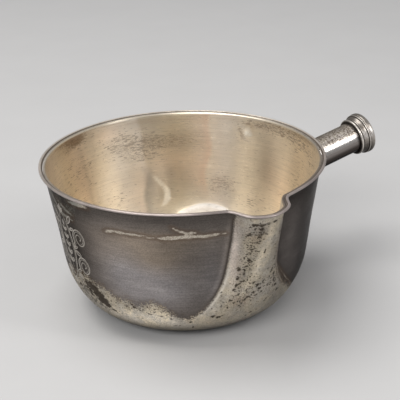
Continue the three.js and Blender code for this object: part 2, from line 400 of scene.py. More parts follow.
# the wall's rounded edge
p_out, n_out = outer_point(TOP_S)
p_in = p_out - n_out * WALL
for turn in (25, 60, 90, 120, 155):
    c, sn = math.cos(math.radians(turn)), math.sin(math.radians(turn))
    mid = (p_out + p_in) / 2
    up_dir = np.array([0, 0, 1.0]) - n_out * n_out[:, 2:3]
    up_dir /= np.linalg.norm(up_dir, axis=1, keepdims=True)
    p = mid + n_out * (WALL / 2) * c + up_dir * .42 * sn
    add_row(p, COL_A, p[:, 2], 1)
for s in inner_s[::-1]:
    p, n = outer_point(s)
    p = p - n * WALL
    add_row(p, COL_A, p[:, 2], 1)
inner_base = verts[-1].copy()
INSIDE = [.9, .72, .52, .3, .08]
for q in INSIDE:
    p = inner_base * np.array([q, q, 1])
    p[:, 2] = inner_base[:, 2] + .05 * (1 - q)
    add_row(p, COL_A, p[:, 2], 1)
rows = len(verts)
V = np.concatenate(verts + [[[0, 0, .17]], [[0, 0, inner_base[0, 2] + .05]]])
F = [tuple(f) for f in grid_faces(rows, COLS)]
under_c, in_c = rows * COLS, rows * COLS + 1
for j in range(COLS):
    k = (j + 1) % COLS
    F.append((under_c, k, j))
    F.append((in_c, (rows - 1) * COLS + j, (rows - 1) * COLS + k))
bowl = new_object("bowl_body_fine", V, F)
A = np.concatenate(att["a"] + [[180, 180]])
Z = np.concatenate(att["z"] + [[0, 1]])
SIDE = np.concatenate(att["side"] + [[0, 1]])
A = wrap(A)
x_mm, r_xy = A * DEG, np.hypot(V[:, 0], V[:, 1])

# Patina of the outside, drawn in degrees from the lip and mm above the table.
PALE = [(-200, -20), (-200, 16), (-186, 18), (-173, 15.5), (-160, 19), (-148, 16), (-136, 20), (-124, 22), (-114, 19), (-107, 23),
        (-102, 27.5), (-97, 26), (-92, 28.5), (-87, 27.5), (-83, 30.5), (-79.5, 30), (-76.5, 29), (-74.5, 28), (-71.8, 27), (-69, 27.4), (-65.5, 26), (-61, 23),
        (-56, 24), (-52, 21.5), (-47, 23.2), (-43.5, 25), (-40, 22.5), (-37, 19.5), (-34, 17.2), (-31, 15.8), (-28.5, 15.1), (-25.5, 17),
        (-22.4, 19.6), (-19.6, 23.0), (-17.0, 27.0), (-14.6, 31.6), (-12.9, 36.5), (-11.5, 44), (-10.3, 55), (-9.9, 68), (-9.9, 80), (7.4, 80),
        (7.6, 66), (7.8, 55), (8.6, 46), (10.2, 39), (13.2, 32), (17, 26), (21.5, 21.5), (27, 18), (32, 15.2), (36, 13), (44, 11.5), (55, 14.5), (66, 18),
        (78, 15.5), (88, 19), (100, 15.5), (112, 18.5), (124, 14.5), (136, 18), (150, 15), (160, 16), (175, 18), (200, 16), (200, -20)]
sd_pale = polygon_distance(x_mm, Z, unroll(PALE))
ragged = np.clip(1 - .88 * blob(A, Z, -18, 30, 13, 16) - .9 * blob(A, Z, -11, 55, 6, 22) - .55 * blob(A, Z, 12, 52, 7, 18), .08, 1)

STREAKS = [
    [(-61.6, 58.0, .15), (-60.2, 58.3, .65), (-58.6, 58.6, .70), (-56.6, 58.9, .55), (-54.2, 58.7, .68), (-52.0, 58.9, .42), (-49.8, 58.6, .62), (-47.4, 58.7, .38), (-45, 58.6, .50), (-42.6, 58.1, .35), (-40, 57.8, .05)],
    [(-39.2, 57.8, .1), (-38.4, 57.9, .6), (-36.4, 57.8, .85), (-33.6, 58.1, .95), (-31.2, 58.3, .70), (-28.4, 58.5, .85), (-26.2, 58.5, .70), (-23.6, 58.5, .60), (-21.6, 58.2, .75), (-19, 58.4, .65), (-16.6, 58.7, .50), (-15.2, 58.5, .15)],
    [(-33.8, 63.4, .05), (-33.0, 62.8, .40), (-31.6, 61.7, .45), (-30.2, 61.0, .55), (-28.6, 60.6, .50), (-27.6, 60.0, .4)],
    [(-28.6, 59.8, .4), (-27.0, 60.2, .60), (-25.2, 60.3, .45), (-23.8, 59.9, .2)],
    [(-14.6, 58.5, .1), (-13.4, 58.6, .35), (-12.5, 58.5, .1)],
    [(-80, 66.5, .3), (-76.5, 66.8, .9), (-73, 67.2, 1.0), (-70, 67.3, .7), (-67.5, 67.2, .2)],
    [(-104, 65.6, .4), (-99, 65.2, .9), (-95, 63.8, 1.1), (-92, 61.4, .9), (-90, 59.2, .4)],
    [(-90.5, 64.6, .3), (-86.5, 62.4, .8), (-82.5, 60.8, .8), (-78.5, 59.8, .3)],
    [(-95, 59.6, .3), (-91, 58.2, .7), (-86.5, 57.6, .9), (-82.5, 57.6, .7), (-79.5, 57.0, .2)],
    [(8.9, 44.5, .05), (10.2, 37.5, .30), (13.6, 30.5, .28), (17.5, 25, .22)],
    [(10.4, 38.5, .20), (15.8, 31.5, .24), (22, 24.5, .24), (29, 18.3, .24), (34.5, 14.6, .5)],
    [(118, 57.5, .3), (128, 58.8, .8), (139, 58.1, .6), (146, 59.1, .2)],
    [(-158, 60.3, .2), (-149, 59.5, .7), (-141, 60.1, .6), (-133, 59.1, .2)],
]
sd_streak = np.full(A.shape, -1e9)
for stroke in STREAKS:
    sd_streak = np.maximum(sd_streak, stroke_distance(x_mm, Z, unroll(stroke)))

# dark spots: (degrees, mm, half width mm, half height mm)
SPOTS = [(-8, 41, .7, 1.4), (-8.3, 36.5, .7, 1.1), (-8.6, 33, .8, 1.0), (-6.2, 38.5, .6, .9), (-9.6, 30.8, .7, .8), (-6.9, 34.5, .5, .7),
         (-4.6, 64.0, 1.9, .75), (-2.6, 63.6, 1.3, .7), (-.2, 63.9, 1.0, .5), (2.0, 64.2, 1.4, .6), (-2.4, 61.6, .8, 1.2), (-1.6, 59.2, 1.2, .6), (-2.6, 57.6, .9, .9), (-1.2, 56.2, .7, .6), (-2.9, 55.2, 1.1, .55),
         (-6.3, 58.8, 1.2, .6), (-4.9, 53.4, .8, .5), (-4.7, 51.4, .9, .7), (-5.1, 49.2, .9, .6), (-4.9, 45.8, .7, 1.1), (-5.6, 42.5, .5, .6),
         (.5, 49.3, .55, 1.5), (.0, 43.4, .4, .4), (6.4, 56.5, .5, 1.0), (5.6, 51, .4, .7), (6.9, 43, .5, 1.2), (6.8, 37, .6, 1.2), (8.6, 33.8, .7, 1.3),
         (-1.5, 33, .7, .9), (.3, 31, .9, 1.0), (1.6, 28.6, 1.3, .9), (-.6, 27.2, 1.0, .7), (2.9, 32.4, .6, 1.0), (.8, 34.8, .5, .6), (3.2, 26.2, .8, .6), (-3.2, 25.6, 1.1, .7), (.6, 25.3, 1.1, .6), (-4.4, 24.2, .8, .5),
         (-10.5, 25.2, 1.0, .6), (-8.8, 23.3, .7, .6), (-12, 22.4, .8, .5), (-5.5, 22, .6, .5), (-13.4, 24.6, .6, .4), (-17.5, 16.6, 1.7, .7), (-15, 15.8, 1.3, .8), (-13.2, 16.6, .5, .4),
         (1.5, 14, .9, .6), (-.3, 12.2, .6, .5), (3.4, 11.6, .5, .4), (11.2, 26.6, 1.1, .9), (13.6, 22.6, .8, .9), (10.6, 29.5, .6, 1.0), (9.4, 31, .5, 1.0), (8.0, 20.0, .7, .5),
         (-27.5, 13.6, .9, .7), (-26.4, 9.2, .5, 1.0), (-35, 10.6, 1.0, .4), (7, 19, .5, .5), (-6, 17.4, .4, .4), (4.2, 38.5, .4, .6),
         (-53, 20.6, 1.1, .6), (-50.5, 19.6, .8, .5), (-56.5, 20.2, .7, .5), (-46, 18.2, 1.2, .5), (-40.5, 17.2, 1.0, .45), (-36.5, 15.6, .8, .4), (-58.5, 18.6, .5, .5),
         (-76.6, 26.2, 3.2, 1.6), (-74.8, 24.2, 4.2, 2.2), (-72.8, 21.8, 4.6, 2.4), (-70.8, 19.4, 4.0, 2.2), (-69.0, 17.2, 3.0, 1.6), (-66, 15.2, 1.8, .9), (-64, 14.0, .8, .5), (-82, 29.5, 2.4, .9), (-86.5, 27.5, 2.6, 1.0), (-90, 25.2, 2.2, .9), (-80.5, 22.6, 2.2, .8),
         (-79.5, 25.5, 1.5, .8), (-82.5, 23.2, 1.2, .7), (-86.5, 22.4, 1.2, .7), (-78, 20.4, .8, .6)]
sd_spot = np.full(A.shape, -1e9)
for a0, z0, w, h in SPOTS:
    sd_spot = np.maximum(sd_spot, (1 - np.hypot((x_mm - a0 * DEG) / w, (Z - z0) / h)) * min(w, h))

# Brightness of the dark patina, mostly painted reflection and shade: a broad painted sheen left of the lip, painted
# shade on the right wall with painted sheen bands on it, painted shade towards the rim, and a painted highlight along
# the pale patch's left edge. It is also darker towards the left side, and the blobs on the back are random variation.
sheen_and_tone_out = 1.0 + 1.04 * blob(A, Z, -52, 42, 14, 17) + .46 * blob(A, Z, -38, 29, 12, 9) + .24 * blob(A, Z, -57, 27, 11, 6) + .16 * blob(A, Z, -53, 61, 9, 4) - .18 * blob(A, Z, -26, 49, 9, 13) - .10 * blob(A, Z, -15, 46, 6, 20) - .12 * blob(A, Z, -26, 22, 10, 7)
sheen_and_tone_out = sheen_and_tone_out - .24 * blob(A, Z, -84, 42, 12, 18) - .44 * np.clip((-65 - A) / 15, 0, 1) * np.clip((A + 150) / 40, 0, 1)
sheen_and_tone_out = sheen_and_tone_out - .44 * np.clip((A - 9) / 5, 0, 1) * np.clip((150 - A) / 60, 0, 1) + .20 * blob(A, Z, 21, 46, 4, 18) + .20 * blob(A, Z, 27, 30, 4, 8) - .08 * blob(A, Z, 40, 32, 6, 16)
sheen_and_tone_out = sheen_and_tone_out * (1 - .46 * np.clip((Z - 58) / 8, 0, 1)) - .10 * blob(A, Z, 38, 20, 10, 8)
sheen_and_tone_out = sheen_and_tone_out + .42 * np.clip(1 - np.abs(sd_pale + 2.1) / 1.9, 0, 1) * np.clip((Z - 24) / 6, 0, 1) * np.clip((66 - Z) / 6, 0, 1) * (np.abs(A + 15) < 8)
sheen_and_tone_out = sheen_and_tone_out + .34 * blob(A, Z, 166, 38, 13, 15) + .26 * blob(A, Z, -164, 46, 11, 12) + .22 * blob(A, Z, 128, 33, 10, 10) - .14 * blob(A, Z, 148, 52, 10, 8) + .20 * blob(A, Z, -128, 38, 12, 12)
warm_out = .5 + .35 * blob(A, Z, 150, 54, 16, 6) - .4 * blob(A, Z, 168, 34, 16, 12) + .35 * blob(A, Z, -140, 50, 16, 8) + .5 * blob(A, Z, -40, 57, 22, 4) + .55 * blob(A, Z, -39, 49, 8, 7) - .6 * blob(A, Z, -42, 32, 20, 11) - .35 * blob(A, Z, -56, 40, 9, 10) - .3 * blob(A, Z, -18, 40, 5, 14) + .3 * blob(A, Z, -50, 50, 24, 8) - .25 * blob(A, Z, 30, 40, 20, 40)
speck_out = np.clip(.22 + .75 * blob(A, Z, -5, 44, 3.0, 14) + .75 * blob(A, Z, -3.0, 60, 3.0, 5) + .50 * blob(A, Z, .5, 29, 7, 6) + .42 * blob(A, Z, -8.5, 33, 2.5, 8) + .45 * blob(A, Z, -10, 22, 8, 4)
                    + .55 * blob(A, Z, 10, 32, 4, 10) + .70 * blob(A, Z, -50, 21, 14, 2.6) + .55 * blob(A, Z, -78, 25, 9, 5) + .30 * blob(A, Z, 150, 14, 70, 5) - .25 * blob(A, Z, 1.2, 47, 2.0, 10) - .5 * blob(A, Z, -9.4, 55, 1.2, 16), 0, 1.2)
# Brightness of the pale patina, partly painted light and shade: painted light and shade along the left crease, painted
# shade on the flute's right flank and low on the wall to its right, and a painted reflection in the band just below the
# lip's bead.
pale_tone_and_shading = 1.14 + .92 * blob(A, Z, -47, 14.5, 20, 4.5) + .16 * blob(A, Z, -19, 20, 5, 5) + .26 * blob(A, Z, -9.8, 46, 1.3, 18) + .35 * blob(A, Z, -9.3, 52.5, .7, 2)
diagonal = A - np.interp(Z, [20, 27, 36, 46, 56, 64], [-9.8, -6.0, -2.4, -.4, 1.2, 2.2])
pale_tone_and_shading = pale_tone_and_shading + .30 * np.exp(-(diagonal / 1.7) ** 2) * np.clip((Z - 22) / 8, 0, 1) * np.clip((64 - Z) / 3, 0, 1) - .20 * np.exp(-((diagonal + 4.2) / 1.9) ** 2) * np.clip((Z - 30) / 8, 0, 1) * np.clip((64 - Z) / 3, 0, 1)
pale_tone_and_shading = pale_tone_and_shading - .20 * blob(A, Z, -6.6, 55.5, 1.6, 6) - .16 * blob(A, Z, -3.4, 61, 3.4, 2.4) - .40 * blob(A, Z, 6.8, 50, 3.0, 14) + .12 * blob(A, Z, 5.2, 50, .6, 12) + .10 * blob(A, Z, 8.9, 47, .6, 12) - .34 * blob(A, Z, 15, 22, 6, 8) - .20 * blob(A, Z, 25, 14, 14, 7) + .20 * blob(A, Z, 0, 26, 7, 5) + .30 * blob(A, Z, -45, 18, 10, 3.5) + .12 * blob(A, Z, -11, 36, 2.5, 8)
pale_tone_and_shading = pale_tone_and_shading - .16 * np.clip(1 - np.abs(A + 9.3) / 1.6, 0, 1) * np.clip((Z - 40) / 12, 0, 1) + .16 * np.clip((Z - 64.6) / 1.2, 0, 1) * blob(A, Z, 0, 66, 7, 6)
stain = np.clip(.55 * blob(A, Z, -6, 24, 5, 4) + .45 * blob(A, Z, -8.5, 40, 2, 8) + .4 * blob(A, Z, -4, 58, 4, 6) + .3 * blob(A, Z, 10, 34, 3, 8) + .3 * blob(A, Z, -14, 14, 8, 3), 0, 1)
# Painted shade in the crease along the pale patch's left edge, and a painted highlight on the edge beside it lower
# down.
crease = np.clip(1.25 - np.abs(sd_pale + .45) / .80, 0, 1) * np.clip((Z - 21) / 14, 0, 1) * np.clip((67.5 - Z) / 2, 0, 1) * (np.abs(A + 13.5) < 5.5)
lit_edge = np.clip(1.15 - np.abs(sd_pale - .95) / .85, 0, 1) * np.clip((46 - Z) / 10, 0, 1) * np.clip((Z - 16) / 3, 0, 1) * ((A > -29) & (A < -10))

# Tarnish of the inside, with painted reflections in it: bands of reflected light and shade, painted highlights and
# shade at the long dent and at the knock beside the socket, and a painted grade where the wall turns in low at the
# back.
sd_highlight = stroke_distance(x_mm, Z, unroll([(167.8, 38.6, .3), (165.5, 36.2, 1.2), (162.4, 32.4, 1.5), (160.4, 28.8, 2.2), (160.4, 25.8, 2.3), (162.0, 23.0, 1.6), (164.0, 21.4, .4)]))
sd_shade = stroke_distance(x_mm, Z, unroll([(171.5, 42, 1.0), (169.5, 37, 2.6), (167.6, 31, 3.4), (165.8, 27, 2.6), (165.5, 24, 1.0)]))
band = lambda c, w: np.exp(-((wrap(A - c) / w) ** 2))

def sheen(edge, width, toward):
    """A band with one sharp side, at edge, that fades out over width degrees: in the brightness it is painted reflected
    light where added and painted shade where taken off; in the hues it is a change of tarnish colour.
    """
    d = wrap(A - edge + 1.1 * np.sin(Z / 7.5 + edge) + .8 * np.sin(Z / 3.7 + 2 * edge)) * toward
    rise = np.clip(d / 3.2 + .5, 0, 1)
    return rise * rise * (3 - 2 * rise) * np.exp(-np.clip(d, 0, None) / width)


low_in, high_in = np.clip((46 - Z) / 10, 0, 1), np.clip((Z - 40) / 8, 0, 1)
reflections_and_tone_in = 1.0 - .17 * sheen(171.5, 9, -1) * (.45 + .55 * low_in) + .12 * sheen(171.5, 7, 1) - .26 * sheen(171.0, 2.6, -1) * low_in * np.clip((Z - 18) / 8, 0, 1) - .08 * sheen(154, 8, -1) * low_in
reflections_and_tone_in = reflections_and_tone_in + .08 * sheen(138.5, 12, -1) + .05 * sheen(121.8, 5, -1) - .11 * band(105, 6.5) * np.clip((Z - 30) / 12, 0, 1) * np.clip((64 - Z) / 10, 0, 1) + .16 * blob(A, Z, 93, 38, 6, 14)
reflections_and_tone_in = reflections_and_tone_in + .16 * band(189, 8) * np.clip((60 - Z) / 14, 0, 1) + .12 * blob(A, Z, 188, 63, 8, 5) - .14 * sheen(204.5, 3.5, 1) - .16 * blob(A, Z, 150, 56, 14, 7) - .13 * blob(A, Z, 152, 36, 8, 14) - .10 * blob(A, Z, 205, 26, 12, 9) + .06 * band(220, 9) + .04 * band(84, 10) - .05 * blob(A, Z, 160, 66, 26, 3)
reflections_and_tone_in = reflections_and_tone_in + .12 * blob(A, Z, 174.5, 58, 5, 10) - .17 * blob(A, Z, 151, 55, 8, 13) - .21 * blob(A, Z, 158, 37, 4.5, 8) - .14 * blob(A, Z, 158, 26, 5, 5) - .08 * blob(A, Z, 169.5, 28, 2, 5) + .14 * blob(A, Z, 117.5, 29, 6, 6) + .08 * blob(A, Z, 209, 38, 5, 8) + .05 * blob(A, Z, 181, 30, 4, 8) + .08 * blob(A, Z, 77, 52, 5, 10) - .07 * blob(A, Z, 214, 56, 12, 14) - .06 * blob(A, Z, 196, 34, 12, 8)
pink_in = np.clip(.06 + .22 * blob(A, Z, 150, 48, 12, 16) + .16 * band(134, 7) + .95 * sheen(138.5, 5.5, 1) * np.clip((Z - 24) / 10, 0, 1) + .35 * blob(A, Z, 160, 44, 12, 10) + .45 * band(209, 7) + .35 * blob(A, Z, 189, 64, 8, 5) + .40 * sheen(171.5, 8, 1) * low_in + .30 * blob(A, Z, 93, 38, 7, 12) + .25 * blob(A, Z, 103, 44, 5, 10), 0, 1)
gold_in = np.clip(.44 + .38 * band(218, 14) - .40 * band(187, 8) + .34 * band(80, 18) - .36 * band(130, 7) - .55 * sheen(171.5, 7, 1) + .35 * band(155, 9) - .5 * sheen(171, 4, -1) * low_in + .45 * blob(A, Z, 152, 54, 10, 12) - .3 * blob(A, Z, 160, 38, 5, 8) - .42 * blob(A, Z, 192, 34, 10, 9), 0, 1)
reflections_and_tone_in = reflections_and_tone_in - .10 * blob(A, Z, 105, 46, 5, 12)
reflections_and_tone_in = 1 + 1.22 * (reflections_and_tone_in - 1) - .035 * band(115, 16) - .03 * band(205, 16)
speck_in = np.clip(-.14 + .12 * np.clip((46 - Z) / 20, 0, 1) + 1.0 * blob(A, Z, 182, 57.5, 10, 6) + .9 * blob(A, Z, 169, 55.5, 9, 6) + .9 * blob(A, Z, 152, 55.5, 12, 5) + .60 * blob(A, Z, 174, 48, 14, 5) + 1.0 * blob(A, Z, 131, 33, 9, 6) + 1.25 * blob(A, Z, 106, 66.6, 15, 2.6) + .8 * blob(A, Z, 84, 64.5, 14, 4.5) + .5 * blob(A, Z, 66, 60, 10, 6)
                   + 1.0 * blob(A, Z, 210, 66, 11, 3) + .7 * blob(A, Z, 121, 61.5, 4, 4) + .55 * blob(A, Z, 206, 51, 10, 10) + .5 * blob(A, Z, 113, 26, 8, 5) + .5 * blob(A, Z, 186, 28, 8, 6) + .5 * blob(A, Z, 80, 48, 9, 10) + .4 * blob(A, Z, 222, 48, 10, 12) + .5 * blob(A, Z, 143, 66.5, 14, 1.6), 0, 1.25)
edge_in = np.clip((Z - 65.8) / 2, 0, 1) * (.10 + .60 * np.clip(band(214, 16) + band(84, 24), 0, 1)) + .95 * blob(A, Z, 207.5, 66.4, 5, 2.4) + .55 * blob(A, Z, 216, 64, 7, 3)
IN_SPOTS = [(154.6, 28.8, .8, .7), (177.2, 35.2, .6, .5), (202, 53, .8, .6), (196, 47, .6, .5), (209, 44, .6, .5), (137.5, 21.2, 1.2, .4), (133, 20.3, .9, .35)]
in_spots_and_knock_shade = np.full(A.shape, -1e9)
for a0, z0, w, h in IN_SPOTS:
    in_spots_and_knock_shade = np.maximum(in_spots_and_knock_shade, (1 - np.hypot(wrap(A - a0) * DEG / w, (Z - z0) / h)) * min(w, h))
# The knock beside the socket: its dark crescent, merged with the dark spots, is painted shade, and its bright side is a
# painted highlight.
in_spots_and_knock_shade = np.maximum(in_spots_and_knock_shade, stroke_distance(x_mm, Z, unroll([(123.6, 65.2, .5), (122.8, 63.4, .9), (121.6, 61.2, 1.1), (120.8, 59.2, 1.25), (119.4, 57.9, 1.1), (117.4, 57.0, .7), (115.8, 56.5, .3)])) - .10)
in_light = np.maximum((1 - np.hypot(wrap(A - 118.1) * DEG / 2.1, (Z - 62.8) / 2.3)) * 2.1, (1 - np.hypot(wrap(A - 116.8) * DEG / 1.7, (Z - 61.2) / 1.5)) * 1.5)
turn_line = np.minimum(22.4 - 4.6 * (wrap(A - 138) / 15.5) ** 2 - Z, (Z - 13.5) * .9)
floor_in = np.clip((11 - Z) / 8, 0, 1)
floor_in = floor_in * floor_in * (3 - 2 * floor_in)
reflections_and_tone_in, pink_in, gold_in = 1 + (reflections_and_tone_in - 1) * (1 - floor_in), .12 + (pink_in - .12) * (1 - floor_in), .5 + (gold_in - .5) * (1 - floor_in)
speck_in = speck_in - .12 * floor_in

inside = SIDE > .5
set_attribute(bowl, "sd_pale", np.clip(np.where(inside, -15, sd_pale), -15, 15))
set_attribute(bowl, "ragged", ragged)
set_attribute(bowl, "sd_streak", np.clip(np.where(inside, -6, sd_streak), -6, 6))
set_attribute(bowl, "sd_spot", np.clip(np.where(inside, np.maximum(in_spots_and_knock_shade, -6), sd_spot), -6, 6))
set_attribute(bowl, "sd_highlight", np.clip(np.maximum(sd_highlight, in_light), -6, 6))
set_attribute(bowl, "turn_line", np.clip(turn_line, -10, 10))
set_attribute(bowl, "sd_shade", np.clip(sd_shade, -8, 8))
set_attribute(bowl, "tone_and_sheen", np.where(inside, reflections_and_tone_in, sheen_and_tone_out))
set_attribute(bowl, "warm", np.where(inside, gold_in, warm_out))
set_attribute(bowl, "pink", pink_in)
set_attribute(bowl, "speck", np.where(inside, speck_in, speck_out))
set_attribute(bowl, "edge_dirt", np.clip(edge_in, 0, 1))
top_z = H - LIP_DIP * np.exp(-.5 * (A / LIP_DIP_WIDTH) ** 2)
set_attribute(bowl, "below_rim", np.clip(top_z - Z, -2, 70))
set_attribute(bowl, "height", Z)
set_attribute(bowl, "floor_in", np.where(inside, floor_in, 0))
set_attribute(bowl, "smear", np.clip(1.1 * blob(A, Z, -93, 62, 12, 6) + 1.1 * blob(A, Z, -81.5, 65.5, 4.5, 3.2) + .5 * blob(A, Z, -76, 63, 5, 3), 0, 1))
set_attribute(bowl, "mauve", np.clip(1.2 * blob(A, Z, -9.6, 50, 1.6, 18) + .5 * blob(A, Z, 8, 52, 2, 14), 0, 1))
set_attribute(bowl, "blotchy", np.clip(np.clip((-64 - A) / 8, 0, 1) * np.clip((A + 175) / 40, 0, 1) * np.clip((31 - Z) / 4, 0, 1) * np.clip((Z - 9) / 6, 0, 1) + .35 * blob(A, Z, -52, 19, 14, 3), 0, 1))
# far_edge is 1 on the far side of the bowl; the shaders use it for painted light on the wall's top edge and on the
# wire, and to show the brushed lines inside on that side
set_attribute(bowl, "far_edge", np.clip(.5 - .75 * np.cos(np.radians(A + 14)), 0, 1))
set_attribute(bowl, "pale_tone_and_shading", np.where(inside, 1, pale_tone_and_shading))
set_attribute(bowl, "stain", np.where(inside, 0, stain))
set_attribute(bowl, "crease", np.where(inside, 0, crease))
set_attribute(bowl, "left_side", np.clip((-70 - A) / 5, 0, 1))
set_attribute(bowl, "lit_edge", np.where(inside, 0, lit_edge))


def make_outside():
    g = Shader("patinated_silver_outside")
    fine = g.noise(g.scaled((.9, .9, .9)), 1.0, 6, .62)
    coarse = g.noise(g.scaled((.11, .11, .11), (3, 1, 7)), 1.0, 5, .6)
    brushed = g.noise(g.scaled((.07, .07, 2.6)), 1.0, 4, .7)
    brushed2 = g.noise(g.scaled((.16, .16, 6.0), (5, 5, 5)), 1.0, 2, .6)
    rag_noise = g.noise(g.scaled((.42, .42, .55), (9, 2, 4)), 1.0, 7, .68)
    grain = g.noise(g.scaled((1.5, 1.5, 1.9), (6, 1, 3)), 1.0, 4, .7)
    rag = g.mul(g.add(g.mul(g.sub(rag_noise, .5), 9.0), g.mul(g.sub(grain, .5), 14.0)), g.attribute("ragged"))
    edge = g.add(g.attribute("sd_pale"), rag)
    pale = g.step(edge, -.75, .75)
    halo = g.mul(g.step(edge, -3.2, -.2), g.sub(1.0, pale))
    tone_and_sheen, warm, below = g.attribute("tone_and_sheen"), g.attribute("warm"), g.attribute("below_rim")
    # dark warm grey tarnish, with finer clouds and marks that run round the bowl; its brightness also carries painted
    # sheen and shade
    dark = g.mix(warm, (.168, .156, .155), (.190, .157, .127))
    cloud = g.noise(g.scaled((.06, .06, .16), (8, 3, 2)), 1.0, 6, .62)
    dark = g.times(dark, g.mul(tone_and_sheen, g.add(.58, g.mul(cloud, .84))))
    dark = g.times(dark, g.add(.56, g.mul(brushed, .88)))
    dark = g.times(dark, g.add(.84, g.mul(g.step(grain, .34, .66), .32)))
    dark = g.mix(g.mul(g.step(fine, .58, .72), .22), dark, (.05, .04, .035))
    dark = g.mix(g.mul(halo, .40), dark, (.085, .066, .052))
    # painted shade in the crease along the pale patch's left edge
    dark = g.mix(g.mul(g.attribute("crease"), .85), dark, (.040, .033, .029))
    # pale, matt, yellowish-grey metal
    mottle = g.noise(g.scaled((.30, .30, .16), (2, 6, 1)), 1.0, 6, .66)
    light = g.mix(g.step(coarse, .38, .62), (.43, .378, .295), (.36, .330, .285))
    light = g.mix(g.mul(g.attribute("mauve"), .9), light, (.40, .350, .315))
    light = g.times(light, g.mul(g.attribute("pale_tone_and_shading"), g.add(.50, g.mul(mottle, 1.0))))
    light = g.times(light, g.add(.62, g.mul(fine, .76)))
    light = g.times(light, g.add(.86, g.mul(g.step(grain, .38, .62), .28)))
    blotchy = g.mul(g.attribute("blotchy"), g.step(g.noise(g.scaled((.50, .50, .62), (2, 9, 5)), 1.0, 5, .66), .48, .54))
    light = g.mix(g.mul(blotchy, .8), light, (.100, .088, .070))
    light = g.mix(g.mul(g.attribute("stain"), g.step(mottle, .35, .6)), light, (.235, .165, .105))
    # painted contact shadow: darker towards the bottom
    light = g.mix(g.step(g.attribute("height"), 13.0, 2.0), light, (.074, .064, .052))
    light = g.mix(g.mul(g.attribute("lit_edge"), .80), light, (.70, .655, .58))
    # dark specks in it, scattered ones that gather in clusters and larger ones put where they are seen
    density = g.attribute("speck")
    grit = g.noise(g.scaled((.95, .95, 1.25), (4, 4, 4)), 1.0, 3, .55)
    speck = g.step(g.add(grit, g.mul(density, .145)), .665, .715)
    tiny = g.noise(g.scaled((2.1, 2.1, 2.4), (1, 7, 2)), 1.0, 2, .5)
    speck_fine = g.mul(g.step(g.add(tiny, g.mul(density, .10)), .67, .74), .7)
    spots = g.step(g.add(g.attribute("sd_spot"), g.add(g.mul(g.sub(fine, .5), 2.2), g.mul(g.mul(g.sub(rag_noise, .5), 7.0), g.attribute("left_side")))), -.20, .30)
    pits = g.math("MAXIMUM", g.math("MAXIMUM", speck, speck_fine), spots, True)
    light = g.mix(g.mul(pits, .94), light, (.036, .027, .020))
    # pale streaks under the rim
    torn = g.noise(g.scaled((.50, .50, 2.0), (1, 3, 5)), 1.0, 7, .76)
    streak_edge = g.add(g.attribute("sd_streak"), g.mul(g.sub(torn, .5), 2.6))
    streak = g.step(streak_edge, -.12, .22)
    brown = g.mul(g.step(streak_edge, -2.0, -.1), g.sub(1.0, streak))
    colour = g.mix(pale, dark, light)
    rust = g.mul(g.mul(g.step(edge, -2.2, -.2), g.step(edge, 2.6, .4)), g.mul(g.step(rag_noise, .46, .56), g.attribute("ragged")))
    colour = g.mix(g.mul(rust, .45), colour, (.135, .085, .055))
    colour = g.mix(g.mul(brown, .45), colour, (.115, .072, .045))
    colour = g.mix(g.mul(streak, .92), colour, g.mix(g.attribute("left_side"), g.mix(g.step(grain, .40, .60), (.66, .60, .51), (.36, .31, .25)), (.35, .335, .295)))
    smear = g.mul(g.attribute("smear"), g.step(g.noise(g.scaled((.22, .22, .55), (7, 2, 2)), 1.0, 6, .68), .44, .56))
    colour = g.mix(g.mul(smear, .75), colour, g.mix(g.step(grain, .45, .55), (.055, .047, .038), (.205, .198, .172)))
    # painted shade on the wall just below the rim wire
    under = g.step(g.add(below, g.mul(g.sub(fine, .5), .8)), 2.2, 1.1)
    colour = g.mix(g.mul(under, .8), colour, (.045, .036, .029))
    rough = g.add(g.lerp(pale, .33, .47), g.mul(g.sub(brushed2, .5), .20))
    rough = g.add(rough, g.mul(pits, .22))
    metal = g.lerp(pale, .93, .66)
    metal = g.lerp(g.mul(pits, pale), metal, .25)
    g.put(g.bsdf.inputs["Specular IOR Level"], g.lerp(g.mul(pits, pale), .5, .16))
    relief = g.add(g.mul(brushed, .45), g.add(g.mul(brushed2, .35), g.mul(fine, .35)))
    relief = g.add(relief, g.mul(pale, .5))
    relief = g.sub(relief, g.mul(pits, 1.3))
    g.brushed_round(.5)
    g.dull_edges(.42)
    return g.finish(colour, rough, metal, g.bump(relief, .55, .09))


